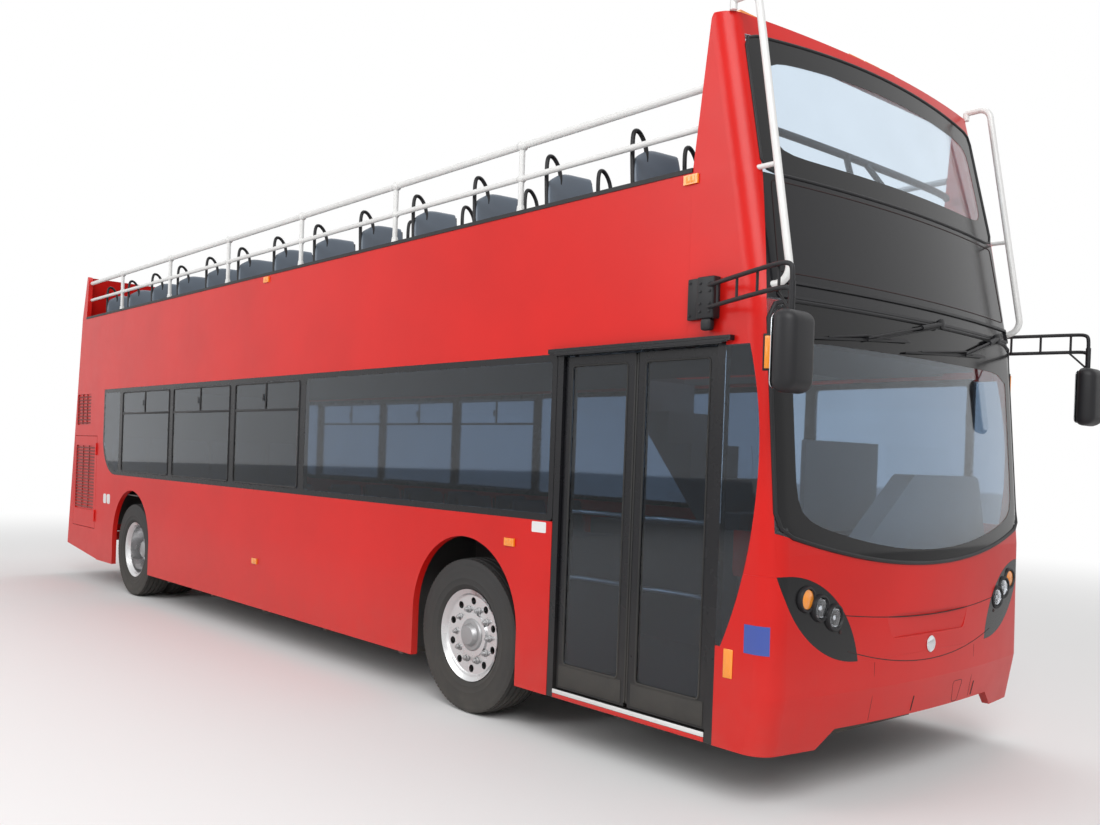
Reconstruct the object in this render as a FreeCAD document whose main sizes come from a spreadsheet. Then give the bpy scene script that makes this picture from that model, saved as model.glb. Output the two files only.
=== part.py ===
import FreeCAD, Part
import math
import os
import re
from FreeCAD import Placement, Rotation, Vector

# Open top double decker bus. Millimetres, +Z up, the front faces -Y and the kerb side is -X.
# The origin is on the ground, at the middle of the bus's length and width.
# The driving dimensions live in the sheet, and every piece below is made from them.
SIZES = {
    # whole body
    "body_width": 2550, "wall": 50, "glass_thick": 10, "seam": 0.4, "door_gap": 6,
    "nose_y": -5225, "tail_y": 5435, "overrun": 60, "lap": 1,
    # heights of the body's seams
    "skirt_z": 285, "belt_z": 1293, "band_top_z": 2264, "panel_top_z": 3157,
    "hoop_top_z": 3930, "tail_top_z": 3650, "hoop_narrowing": 30,
    # nose: setback of its centre line from nose_y at each seam height, and its plan
    "nose_bow_r": 8000, "nose_corner_r": 120, "foot_back": 46, "chin_z": 560, "waist_z": 1240,
    "waist_back": 10, "lamp_top_z": 1140, "sill_z": 1345, "screen_top_z": 2465, "screen_top_back": 115,
    "upper_sill_z": 3090, "upper_sill_back": 235, "hoop_back": 430,
    "jamb_y": -4795, "pillar_foot_y": -4544, "pillar_head_y": -4607, "pillar_head_r": 60,
    # nose openings
    "screen_half": 1236, "screen_dip_z": 1172, "upper_half_foot": 1180,
    "upper_half_head": 1150, "upper_head_z": 3815, "upper_head_rise": 55, 
    "lamp_tip_x": 1230, "lamp_in_x": 660, "lamp_in_z": 707, "lamp_high_x": 880,
    "lamp_high_z": 1052, "lamp_low_x": 1000, "lamp_low_z": 812,
    "chin_half": 900, "chin_top_z": 378, "chin_slope": 120, "flap_top_z": 922, "pocket_half": 430, "pocket_low_z": 800,
    "pocket_depth": 16, "pocket_corner_r": 40,
    "quarter_top_z": 2246, "quarter_top_y": -4937,
    "quarter_mid_z": 1594, "quarter_mid_y": -5007, "quarter_low_z": 776, "quarter_low_y": -4825,
    
    # tail
    "tail_bow_r": 20000, "tail_corner_r": 90, "tail_panel_back": 310, "tail_top_back": 398,
    "tail_split_y": 4255, "tail_return_y": 4865, "tail_foot_z": 412, "tail_head_r": 110,
    "hatch_half": 820, "hatch_low_z": 520, "hatch_top_z": 1420, "hatch_r": 60,
    # wheels and axles
    "front_axle_y": -2755, "rear_axle_y": 3185, "tyre_r": 498.5, "tyre_w": 282, "bead_r": 296,
    "tyre_face_x": 1235, "tyre_shoulder_r": 45, "twin_pitch": 322, "rim_r": 299, "rim_wall": 14, "rim_drop": 3, "rim_bend_r": 12,
    "disc_bend_r": 20, "sidewall_r": 60, "boss_out": 12, "rear_boss_out": 60,
    "disc_r": 268, "disc_dish": 62, "rear_dish": 290, "disc_bore_r": 140.5, "disc_wall": 16,
    "hand_hole_r": 24, "hand_hole_pcd_r": 219, "hand_hole_count": 10, "stud_r": 11,
    "stud_pcd_r": 167.5, "stud_len": 34, "stud_count": 10, "left_phase_deg": 18, "stud_root": 4, "hub_r": 142, "hub_nose_r": 52, "hub_nose_len": 46,
    "kingpin_x": 1000, "kingpin_r": 24, "running_gap": 0.3,
    "knuckle_half": 70, "knuckle_thick": 46, "spindle_r": 45,
    "spindle_len": 96, "fork_gap": 6, "fork_high": 60, "steer_arm_len": 190, "steer_arm_w": 40,
    "steer_arm_t": 26,
    "beam_low_z": 128, "beam_high": 78, "beam_half_depth": 55, "beam_drop_half": 690, "beam_neck_run": 110, "beam_foot_run": 20, "beam_eye_run": 90, "beam_bend_r": 40, "beam_neck_r": 60,
    "beam_end_back": 10, "eye_r": 38,
    "rear_tube_r": 78, "diff_r": 190, "diff_x": 60, "rear_hub_r": 110, "arch_half": 545,
    "arch_top_z": 1140, 
    # frame and floors
    "rail_half": 430, "rail_w": 70, "rail_low_z": 213, "rail_high": 80, "rail_front_y": -4845,
    "kick_y": 2345, "rail_kick_z": 600, "kick_run": 110, "rail_tail_y": 5085,
    "cross_w": 90, "cross_count": 6, "outrigger_count": 5,
    "floor_top_z": 335, "floor_t": 40, "floor_front_y": -4975, "step_y": 2305,
    "rear_floor_z": 760, "bulkhead_y": 4185, "box_inner_x": 590, "box_half_y": 735,
    "box_top_z": 1190, "rear_box_top_z": 1090, "box_wall": 12, "rear_box_inner_x": 545,
    "deck_z": 2290, "deck_t": 50, "deck_front_y": -4875, "deck_tail_y": 4985,
    "stair_x": 640, "stair_foot_y": -4145, "stair_rise_count": 8, "stair_tread": 230,
    "stair_t": 110, "stair_w": 560,
    "engine_w": 1100, "engine_len": 800, "engine_high": 640, "engine_y": 4305,
    # windows along the side
    "band_front_y": -3585, "band_tail_y": 4140, "band_curve_r": 420, "band_corner_r": 35,
    "frame_t": 40, "pane_edge": 42, "pane_corner_r": 24, "pillar_w": 90,
    "pane_a_y": -575, "pane_b_y": 725, "pane_c_y": 2140, "pane_d_y": 3575, "pane_t": 8, "pane_in": 1,
    # upper side panel
    "cap_high": 24, "cap_out": 5,
    # entrance
    "leaf_w": 535, "leaf_t": 38, "leaf_low_z": 342, "leaf_top_z": 2244, "leaf_inset": 22,
    "leaf_stile": 52, "leaf_kick": 140, "leaf_head": 52, "door_rear_y": -3585, "door_jamb": 50,
    "header_high": 44, "gutter_out": 34, "gutter_high": 26, 
    "leaf_pane_t": 10, "door_frame_t": 44, "door_frame_in": 2, "leaf_pane_in": 4, "shaft_d": 28, "shaft_gap": 30, "shaft_arm_high": 26,
    "shaft_arm_low_z": 520, "shaft_arm_high_z": 2080,
    # service doors beside the engine
    "service_front_y": 4345, "service_tail_y": 5135, "service_low_z": 640, "service_top_z": 1720,
    "grille_front_y": 4415, "grille_tail_y": 5090, "grille_low_z": 845, "grille_top_z": 1610,
    "hinge_d": 16, "hinge_len": 70, "hinge_t": 4, "hinge_plate": 36, "hinge_inset_z": 150,
    "hatch_hinge_x": 520, "hatch_hinge_lift": 2, "grille_deep": 14, "vent_front_y": 4600, "vent_tail_y": 5090, "vent_low_z": 1853,
    "vent_top_z": 2225, 
    # rails on the open deck
    "rail_top_z": 3572, "rail_mid_z": 3370, "rail_x": 1222, "rail_tube_d": 44, "mid_tube_d": 34,
    "post_d": 36, "post_first_y": -3138, "post_pitch": 1390, "post_count": 6,
    # branch guards on the front corners
    "bar_d": 38, "bar_x": 1196, "bar_out": 4, "bar_head_out": 52, "bar_low_z": 2530, "bar_bend_r": 75, "bar_stay_z": 3110,
    "bar_top_rise": 50,
    # mirrors
    "mirror_x": 1550, "mirror_y": -5375, "mirror_top_z": 2345, "mirror_high": 375, "mirror_w": 240,
    "arm_rise": 8,
    "mirror_deep": 120, "mirror_r": 42, "arm_d": 22, "stem_d": 30, "rung_d": 16, "arm_box_y": -4695, "arm_box_z": 2480,
    "arm_box_high": 216, "arm_box_w": 110, "arm_box_t": 60, "arm_rail_gap": 95,
    # wipers
    "wiper_y_gap": 26, "wiper_root_z": 2475, "wiper_tip_z": 2345, "blade_low_z": 2285, "blade_high_z": 2350,
    "kerb_root_x": 154, "kerb_tip_x": -576, "kerb_blade_x": -590, "kerb_blade_half": 427,
    "driver_root_x": 929, "driver_tip_x": 462, "driver_blade_x": 256, "driver_blade_half": 485,
    "wiper_d": 16, "wiper_boss_r": 26,
    # lamps
    "marker_w": 150, "marker_high": 34, "marker_t": 30,
    "side_marker_w": 90, "marker_a_y": -4540, "marker_b_y": 132, "marker_high_z": 3098,
    "marker_c_y": 176, "marker_low_z": 682, "marker_d_y": -3215, "marker_arch_z": 1143, "side_marker_high": 48, "side_marker_t": 12,
    "tail_lamp_x": 1060, "tail_lamp_r": 62, "tail_lamp_z": 700, "tail_lamp_pitch": 165, "tail_lamp_t": 28,
    # seats
    "seat_w": 850, "seat_back_high": 960, "seat_rake": 110, "seat_deep": 430, "seat_cushion_z": 430,
    "seat_cushion_t": 90, "seat_back_t": 62, "seat_front_r": 30, "seat_under_r": 20, "seat_bend_r": 40, "seat_top_r": 26, "seat_side_gap": 26, "leg_w": 60, "leg_deep": 240,
    "upper_seat_first_y": -4095, "upper_seat_pitch": 705, "upper_seat_count": 13,
    "lower_seat_first_y": -1345, "lower_seat_pitch": 760, "lower_seat_count": 5,
    "deck_back_high": 1080, "loop_w": 150, "loop_high": 100, "loop_t": 26,
    # driver's place
    "driver_x": 640, "driver_seat_w": 500, "driver_back_y": -4225, "dash_top_z": 1150,
    "dash_hood_z": 1640, "hood_foot_x": -420, "hood_head_x": 200, "hood_far_in": 10,
    "hood_far_slope": 150, "hood_round_r": 70, "hood_front_gap": 60, "column_back": 30, "column_down": 120, "wheel_rim_r": 225, "wheel_rim_d": 30, 
    "wheel_y": -4625, "wheel_z": 1330, "column_d": 70, "cab_wall_y": -4175, "cab_wall_t": 30,
    "cab_wall_high": 1500,
}

doc = FreeCAD.newDocument("bus")
sheet = doc.addObject("Spreadsheet::Sheet", "sizes")
for row, (alias, number) in enumerate(SIZES.items(), 1):
    sheet.set(f"A{row}", alias)
    sheet.set(f"B{row}", str(number))
    sheet.setAlias(f"B{row}", alias)
doc.recompute()


class Sizes:
    """The sheet's cells, read by their alias."""

    def __getattr__(self, alias):
        return float(sheet.get(alias))


S = Sizes()
HALF = S.body_width / 2
RIGHT = -1
LEFT = 1
SIDES = {"right": RIGHT, "left": LEFT}
kept = []


# Helpers that make objects of the document

def bind(obj, **formulas):
    """Ties properties to the sheet. A formula names cells by alias."""
    for path, text in formulas.items():
        tied = re.sub(r"[a-z_]+[a-z0-9_]*", lambda m: "sizes." + m.group() if m.group() in SIZES else m.group(), text)
        obj.setExpression(path.replace("__", "."), tied)
    return obj


def block(name, x, y, z):
    """A box between two formulas along each axis."""
    obj = doc.addObject("Part::Box", name)
    for axis, size, (low, high) in zip("xyz", ("Length", "Width", "Height"), (x, y, z)):
        bind(obj, **{size: f"({high}) - ({low})", f"Placement__Base__{axis}": low})
    return obj


def drum(name, centre, radius, height, direction=Vector(0, 0, 1)):
    """A cylinder whose foot is at centre, with its radius and height tied to the sheet."""
    obj = doc.addObject("Part::Cylinder", name)
    bind(obj, Radius=radius, Height=height)
    obj.Placement = Placement(centre, Rotation(Vector(0, 0, 1), direction))
    return obj


def join(name, *parts):
    obj = doc.addObject("Part::MultiFuse", name)
    obj.Shapes = list(parts)
    obj.Refine = False
    return obj


def cut(name, base, *tools):
    for number, tool in enumerate(tools):
        obj = doc.addObject("Part::Cut", f"{name}_{number}")
        obj.Base, obj.Tool = base, tool
        base = obj
    return base


def common(name, base, tool):
    obj = doc.addObject("Part::Common", name)
    obj.Base, obj.Tool = base, tool
    return obj


def shaped(name, shape):
    obj = doc.addObject("Part::Feature", name)
    obj.Shape = shape
    return obj


def piece(obj, label):
    """Marks an object as a finished sub-part, which is written to its own file."""
    obj.Label = label
    kept.append(obj)
    return obj


# Outlines

def rounded(corners):
    """Lines and tangent arcs through corners given as (a, b) or (a, b, radius), closed."""
    points = [Vector(c[0], c[1], 0) for c in corners]
    radii = [c[2] if len(c) > 2 else 0 for c in corners]
    ends = []
    for i, corner in enumerate(points):
        before, after = points[i - 1], points[(i + 1) % len(points)]
        to_before, to_after = (before - corner).normalize(), (after - corner).normalize()
        if not radii[i]:
            ends.append((corner, None, corner))
            continue
        half = to_before.getAngle(to_after) / 2
        reach = radii[i] / math.tan(half)
        middle = (to_before + to_after).normalize()
        centre = corner + middle * (radii[i] / math.sin(half))
        ends.append((corner + to_before * reach, centre - middle * radii[i], corner + to_after * reach))
    edges = []
    for i, (start, bend, finish) in enumerate(ends):
        if bend is not None:
            edges.append(Part.Arc(start, bend, finish))
        begin = ends[(i + 1) % len(ends)][0]
        if (begin - finish).Length > 1e-6:
            edges.append(Part.LineSegment(finish, begin))
    return edges


def wire_of(edges):
    return Part.Wire(Part.__sortEdges__([e.toShape() for e in edges]))


FRONT_VIEW = Placement(Vector(0, 0, 0), Rotation(Vector(1, 0, 0), 90))
SIDE_VIEW = Placement(Vector(0, 0, 0), Rotation(Vector(1, 1, 1), 120))


def prism_along_y(name, edges, low, high):
    """An outline in X and Z, pushed from y = low to y = high."""
    face = Part.Face(wire_of(edges))
    face.Placement = Placement(Vector(0, low, 0), FRONT_VIEW.Rotation)
    return shaped(name, face.extrude(Vector(0, high - low, 0)))


def prism_along_x(name, edges, low, high):
    """An outline in Y and Z, pushed from x = low to x = high."""
    face = Part.Face(wire_of(edges))
    face.Placement = Placement(Vector(low, 0, 0), SIDE_VIEW.Rotation)
    return shaped(name, face.extrude(Vector(high - low, 0, 0)))


def sketch_on(body, role, offset, outlines):
    """A sketch of closed outlines on one of the body's origin planes, moved off it by a formula."""
    sketch = body.newObject("Sketcher::SketchObject", body.Name + "_outline")
    plane = [f for f in body.Origin.OriginFeatures if f.Role == role][0]
    sketch.AttachmentSupport = [(plane, "")]
    sketch.MapMode = "FlatFace"
    if offset:
        bind(sketch, AttachmentOffset__Base__z=offset)
    for edges in outlines:
        for edge in edges:
            sketch.addGeometry(edge, False)
    return sketch


def padded(name, role, offset, length, outlines):
    """A body padded from outlines: the first is its edge and the rest are openings."""
    body = doc.addObject("PartDesign::Body", name)
    sketch = sketch_on(body, role, offset, outlines)
    pad = body.newObject("PartDesign::Pad", name + "_pad")
    pad.Profile = sketch
    bind(pad, Length=length)
    body.Tip = pad
    return body


def turned(name, outline, axis_edge=("V_Axis",)):
    """A body turned about the sketch's vertical axis from a half section in radius and width."""
    body = doc.addObject("PartDesign::Body", name)
    sketch = sketch_on(body, "XY_Plane", None, [outline])
    turn = body.newObject("PartDesign::Revolution", name + "_turn")
    turn.Profile = sketch
    turn.ReferenceAxis = (sketch, list(axis_edge))
    turn.Angle = 360
    body.Tip = turn
    return body


def tube_shape(points, diameter, bend=0.0):
    """A round tube through points, with its corners bent to a radius."""
    path = []
    start = points[0]
    for i in range(1, len(points) - 1):
        corner = points[i]
        back, ahead = (points[i - 1] - corner).normalize(), (points[i + 1] - corner).normalize()
        half = back.getAngle(ahead) / 2
        reach = bend / math.tan(half)
        middle = (back + ahead).normalize()
        arc_mid = corner + middle * (bend / math.sin(half) - bend)
        begin, finish = corner + back * reach, corner + ahead * reach
        if (begin - start).Length > 1e-6:
            path.append(Part.LineSegment(start, begin).toShape())
        path.append(Part.Arc(begin, arc_mid, finish).toShape())
        start = finish
    path.append(Part.LineSegment(start, points[-1]).toShape())
    spine = Part.Wire(path)
    ring = Part.Wire([Part.Circle(points[0], points[1] - points[0], diameter / 2).toShape()])
    return spine.makePipeShell([ring], True, True)


# Nose and tail shells: plan sections with a bowed face and round corners, stacked up the body

def end_section(z, face_y, half, outward, inset, bow_r, corner_r, back_y):
    """One plan section. outward is -1 for the nose and +1 for the tail."""
    centre_y = face_y - outward * bow_r
    corner_x = half - corner_r
    corner_y = centre_y + outward * math.sqrt((bow_r - corner_r) ** 2 - corner_x ** 2)
    big, small = bow_r - inset, corner_r - inset
    lean = Vector(corner_x, corner_y - centre_y, 0).normalize()
    meet = Vector(0, centre_y, 0) + lean * big
    mid = (lean + Vector(1, 0, 0)).normalize()
    knee = Vector(corner_x, corner_y, 0) + mid * small
    side = Vector(half - inset, corner_y, 0)

    def at(point, sign=1):
        return Vector(sign * point.x, point.y, z)

    tip = Vector(0, centre_y + outward * big, 0)
    back = Vector(half - inset, back_y, 0)
    edges = [
        Part.LineSegment(at(back, -1), at(side, -1)),
        Part.Arc(at(side, -1), at(knee, -1), at(meet, -1)),
        Part.Arc(at(meet, -1), at(tip), at(meet)),
        Part.Arc(at(meet), at(knee), at(side)),
        Part.LineSegment(at(side), at(back)),
        Part.LineSegment(at(back), at(back, -1)),
    ]
    return Part.Wire([e.toShape() for e in edges])


def nose_levels():
    """Height, setback of the centre line and half width at each of the nose's seams."""
    return [
        (S.skirt_z, S.foot_back, HALF),
        (S.chin_z, 0, HALF),
        (S.waist_z, S.waist_back, HALF),
        (S.screen_top_z, S.screen_top_back, HALF),
        (S.upper_sill_z, S.upper_sill_back, HALF),
        (S.hoop_top_z, S.hoop_back, HALF - S.hoop_narrowing),
    ]


def tail_levels():
    return [
        (S.skirt_z, 0, HALF),
        (S.tail_foot_z, 0, HALF),
        (S.panel_top_z, S.tail_panel_back, HALF),
        (S.tail_top_z, S.tail_top_back, HALF - S.hoop_narrowing / 2),
    ]


def stacked(levels, face_y, outward, inset, bow_r, corner_r, back_y, through=0.0, lid=0.0):
    """A solid lofted through the sections. through runs it past the foot, lid stops it below the top."""
    wires = []
    for number, (z, setback, half) in enumerate(levels):
        if number == 0:
            z -= through
        if number == len(levels) - 1:
            z -= lid
        wires.append(end_section(z, face_y - outward * setback, half, outward, inset, bow_r, corner_r, back_y))
    return Part.makeLoft(wires, True, True)


nose_back_y = S.pillar_foot_y + 6 * S.wall
nose_inner_back_y = nose_back_y + S.overrun


def nose_solid(name, inset, lid=0.0):
    back_y = nose_back_y if inset == 0 else nose_inner_back_y
    through = S.overrun if inset else 0
    return shaped(name, stacked(nose_levels(), S.nose_y, -1, inset, S.nose_bow_r, S.nose_corner_r,
                                back_y, through, lid))


def tail_solid(name, inset, lid=0.0):
    front_y = S.tail_split_y - (S.overrun if inset else 0)
    through = S.overrun if inset else 0
    return shaped(name, stacked(tail_levels(), S.tail_y, 1, inset, S.tail_bow_r, S.tail_corner_r,
                                front_y, through, lid))


def nose_face_y(z):
    """The nose's centre line at a height, which lamps, guards and wipers are set from."""
    levels = nose_levels()
    for (z0, b0, _), (z1, b1, _) in zip(levels, levels[1:]):
        if z <= z1:
            return S.nose_y + b0 + (b1 - b0) * (z - z0) / (z1 - z0)
    return S.nose_y + levels[-1][1]


nose_block = nose_solid("nose_block", 0)
nose_wall = cut("nose_wall", nose_block, nose_solid("nose_inside", S.wall, S.wall))
nose_glass = cut("nose_glass", nose_block, nose_solid("nose_behind_glass", S.glass_thick, S.glass_thick))
far_front_y = S.nose_y - 2 * S.overrun
screen_back_y = S.nose_y + 2.6 * S.nose_corner_r
upper_back_y = screen_back_y + S.hoop_back


def screen_outline(grow):
    """Lower windscreen seen from the front: a level head, round corners and a dipped sill."""
    half = S.screen_half + grow
    top, foot, dip = S.screen_top_z + grow, S.sill_z - grow, S.screen_dip_z - grow
    return [
        Part.Arc(Vector(-half, foot, 0), Vector(0, dip, 0), Vector(half, foot, 0)),
        Part.LineSegment(Vector(half, foot, 0), Vector(half, top, 0)),
        Part.LineSegment(Vector(half, top, 0), Vector(-half, top, 0)),
        Part.LineSegment(Vector(-half, top, 0), Vector(-half, foot, 0)),
    ]


def destination_outline(grow):
    half = S.screen_half + grow
    head = S.upper_half_foot + grow
    return rounded([(-half, S.screen_top_z - grow), (half, S.screen_top_z - grow),
                    (head, S.upper_sill_z + grow), (-head, S.upper_sill_z + grow)])


def upper_outline(grow):
    """Upper windscreen: narrower at its head, which rises towards the middle."""
    foot, head = S.upper_half_foot + grow, S.upper_half_head + grow
    low, high = S.upper_sill_z - grow, S.upper_head_z + grow
    return [
        Part.LineSegment(Vector(-foot, low, 0), Vector(foot, low, 0)),
        Part.LineSegment(Vector(foot, low, 0), Vector(head, high, 0)),
        Part.Arc(Vector(head, high, 0), Vector(0, high + S.upper_head_rise, 0), Vector(-head, high, 0)),
        Part.LineSegment(Vector(-head, high, 0), Vector(-foot, low, 0)),
    ]


def lamp_outline(side, grow):
    """Leaf shaped headlamp housing between its outer and inner tips."""
    outer = Vector(side * (S.lamp_tip_x + grow), S.lamp_top_z + grow, 0)
    inner = Vector(side * (S.lamp_in_x - grow), S.lamp_in_z - grow, 0)
    high = Vector(side * (S.lamp_high_x - grow), S.lamp_high_z + grow, 0)
    low = Vector(side * (S.lamp_low_x + grow), S.lamp_low_z - grow, 0)
    return [Part.Arc(outer, high, inner), Part.Arc(inner, low, outer)]


def front_prism(name, outline, back_y=screen_back_y):
    return prism_along_y(name, outline, far_front_y, back_y)


def bumper_prism(name, grow):
    """Everything of the nose below the flap, the lamps' lower edges and the corner seams."""
    wide = HALF + S.overrun
    foot = S.skirt_z - 2 * S.overrun
    tip_x, tip_z = S.lamp_tip_x + grow, S.lamp_top_z + grow
    in_x, in_z = S.lamp_in_x - grow, S.lamp_in_z + grow
    low_x, low_z = S.lamp_low_x + grow, S.lamp_low_z + grow
    v = lambda x, z: Vector(x, z, 0)
    edges = [
        Part.LineSegment(v(-wide, foot), v(wide, foot)),
        Part.LineSegment(v(wide, foot), v(wide, tip_z)),
        Part.LineSegment(v(wide, tip_z), v(tip_x, tip_z)),
        Part.Arc(v(tip_x, tip_z), v(low_x, low_z), v(in_x, in_z)),
        Part.LineSegment(v(in_x, in_z), v(-in_x, in_z)),
        Part.Arc(v(-in_x, in_z), v(-low_x, low_z), v(-tip_x, tip_z)),
        Part.LineSegment(v(-tip_x, tip_z), v(-wide, tip_z)),
        Part.LineSegment(v(-wide, tip_z), v(-wide, foot)),
    ]
    return prism_along_y(name, edges, far_front_y, nose_inner_back_y + S.overrun)


def behind_jamb(name):
    """Cutter for what lies behind the front door jamb, below the upper panel."""
    return block(name, ("-body_width", "body_width"), ("jamb_y", "jamb_y + body_width"), ("0", "band_top_z"))


lamps_cutter = join("lamps_cutter", *[front_prism(f"lamp_hole_{s}", lamp_outline(sign, S.seam))
                                      for s, sign in SIDES.items()])
screen_cutter = front_prism("screen_cutter", screen_outline(S.seam))


def quarter_outline(grow):
    """Window between the door and the corner: its front edge follows the bowed corner."""
    rear = S.jamb_y + S.overrun if grow else S.jamb_y - S.seam
    top, low = S.quarter_top_z + grow, S.quarter_low_z - grow
    return [
        Part.LineSegment(Vector(rear, low, 0), Vector(rear, top, 0)),
        Part.LineSegment(Vector(rear, top, 0), Vector(S.quarter_top_y - grow, top, 0)),
        Part.Arc(Vector(S.quarter_top_y - grow, top, 0), Vector(S.quarter_mid_y - grow, S.quarter_mid_z, 0),
                 Vector(S.quarter_low_y - grow, low, 0)),
        Part.LineSegment(Vector(S.quarter_low_y - grow, low, 0), Vector(rear, low, 0)),
    ]


quarter_cutter = prism_along_x("quarter_cutter", quarter_outline(S.seam), -S.body_width, S.body_width)


def make_bumper():
    """Bumper moulding with the corners up to the lamps' tips."""
    raw = common("bumper_raw", nose_wall, bumper_prism("bumper_outline", 0))
    below = S.skirt_z - S.overrun
    chin = front_prism("chin_cutter", rounded([
        (-S.chin_half, below), (-S.chin_half, S.skirt_z), (-S.chin_half + S.chin_slope, S.chin_top_z),
        (S.chin_half - S.chin_slope, S.chin_top_z), (S.chin_half, S.skirt_z), (S.chin_half, below)]))
    short = cut("bumper_short", raw, behind_jamb("bumper_back"), lamps_cutter, quarter_cutter, chin)
    piece(short, "front_bumper")


def make_front_panel():
    """Red panel between the lamps, from the bumper to the windscreen, with a hand pocket in its flap."""
    area = block("panel_area", ("-screen_half", "screen_half"), ("nose_y - overrun", "jamb_y - overrun"),
                 ("lamp_in_z", "sill_z"))
    raw = common("panel_raw", nose_wall, area)
    pocket_edges = rounded([
        (-S.pocket_half, S.flap_top_z), (-S.pocket_half * 0.86, S.pocket_low_z, S.pocket_corner_r),
        (S.pocket_half * 0.86, S.pocket_low_z, S.pocket_corner_r), (S.pocket_half, S.flap_top_z)])
    pocket = prism_along_y("flap_pocket", pocket_edges, far_front_y, S.nose_y + S.pocket_depth)
    panel = cut("front_panel", raw, bumper_prism("panel_foot", S.seam), lamps_cutter, screen_cutter, pocket)
    piece(panel, "front_panel")


def make_headlamps():
    """Black lamp housings that follow the nose, each with three round lamp seats."""
    solids = []
    for s, sign in SIDES.items():
        solids.append(common(f"headlamp_{s}", nose_wall, front_prism(f"lamp_body_{s}", lamp_outline(sign, 0))))
    piece(join("headlamps", *solids), "headlamps")


def make_screens():
    lower = common("screen_lower", nose_glass, front_prism("screen_body", screen_outline(0)))
    piece(lower, "windscreen_lower")
    panel = common("destination", nose_wall, front_prism("destination_body", destination_outline(-S.seam), upper_back_y))
    behind = block("destination_back", ("-body_width", "body_width"), ("pillar_foot_y - wall", "pillar_foot_y + body_width"),
                   ("0", "hoop_top_z"))
    piece(cut("destination_panel", panel, behind), "destination_panel")
    upper = common("screen_upper", nose_glass, front_prism("upper_body", upper_outline(-S.seam), upper_back_y))
    piece(upper, "windscreen_upper")


def make_surround():
    """Red moulding round both windscreens: corner pillars, and the hoop that stands above the open deck."""
    below = block("surround_foot", ("-body_width", "body_width"), ("nose_y - overrun", "jamb_y + body_width"),
                  ("0", "lamp_top_z + seam"))
    front = block("surround_panel", ("-screen_half - seam", "screen_half + seam"),
                  ("nose_y - overrun", "jamb_y - overrun"), ("0", "sill_z + seam"))
    back_low = block("surround_back", ("-body_width", "body_width"), ("pillar_foot_y", "pillar_foot_y + body_width"),
                     ("0", "panel_top_z"))
    slope = prism_along_x("surround_slope", rounded([
        (S.pillar_foot_y, S.panel_top_z - S.seam), (S.pillar_head_y, S.hoop_top_z, S.pillar_head_r),
        (S.pillar_head_y - S.pillar_head_r * 2, S.hoop_top_z + S.overrun),
        (S.pillar_foot_y + S.body_width, S.hoop_top_z + S.overrun), (S.pillar_foot_y + S.body_width, S.panel_top_z - S.seam)]),
        -S.body_width, S.body_width)
    rest = cut("surround", nose_wall, below, front, screen_cutter,
               front_prism("destination_cutter", destination_outline(0), upper_back_y),
               front_prism("upper_cutter", upper_outline(0), upper_back_y),
               behind_jamb("surround_jamb"), back_low, slope, quarter_cutter)
    piece(rest, "front_surround")


# Side walls

def arch(axle_y):
    """Corners of a wheel arch: straight legs and a round head."""
    r = S.arch_half * 0.999
    return [(axle_y - S.arch_half, S.skirt_z), (axle_y - S.arch_half, S.arch_top_z, r),
            (axle_y + S.arch_half, S.arch_top_z, r), (axle_y + S.arch_half, S.skirt_z)]


def skirt_outline(front_y):
    corners = [(front_y, S.skirt_z)] + arch(S.front_axle_y) + arch(S.rear_axle_y)
    rear = S.tail_split_y - S.seam
    curve = band_tail_corner(0)
    corners += [(rear, S.skirt_z), (rear, S.band_top_z), (curve[1][0], S.band_top_z)]
    corners += [curve[1], (front_y, S.belt_z)]
    return rounded(corners)


def band_tail_corner(grow):
    """The window band's rear end: its lower corner is swept up in one large curve."""
    return [(S.band_tail_y + grow, S.band_top_z + grow, S.band_corner_r),
            (S.band_tail_y + grow, S.belt_z - grow, S.band_curve_r)]


def make_side_lower():
    for s, sign in SIDES.items():
        front_y = S.door_rear_y + S.seam if sign == RIGHT else S.jamb_y + S.seam
        offset = "-body_width/2" if sign == RIGHT else "body_width/2 - wall"
        body = padded(f"side_lower_{s}", "YZ_Plane", offset, "wall", [skirt_outline(front_y)])
        piece(body, f"side_lower_{s}")


def band_outline(front_y, grow):
    high, low = band_tail_corner(grow)
    return [(front_y, S.belt_z - grow, S.band_corner_r), low, high, (front_y, S.band_top_z + grow, S.band_corner_r)]


def pane_edges(front_y):
    """Front and rear limits of each pane, between the band's pillars."""
    marks = [S.pane_a_y, S.pane_b_y, S.pane_c_y, S.pane_d_y]
    half = S.pillar_w / 2
    starts = [front_y + S.pane_edge] + [m + half for m in marks]
    ends = [m - half for m in marks] + [S.band_tail_y - S.pane_edge]
    return list(zip(starts, ends))


def pane_outline(start, end, shrink, last):
    low, high = S.belt_z + S.pane_edge + shrink, S.band_top_z - S.pane_edge - shrink
    r = S.pane_corner_r
    a, b = start + shrink, end - shrink
    sweep = min(S.band_curve_r - S.pane_edge, 0.92 * (b - a)) if last else r
    return rounded([(a, low, r), (b, low, sweep), (b, high, r), (a, high, r)])


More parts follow.
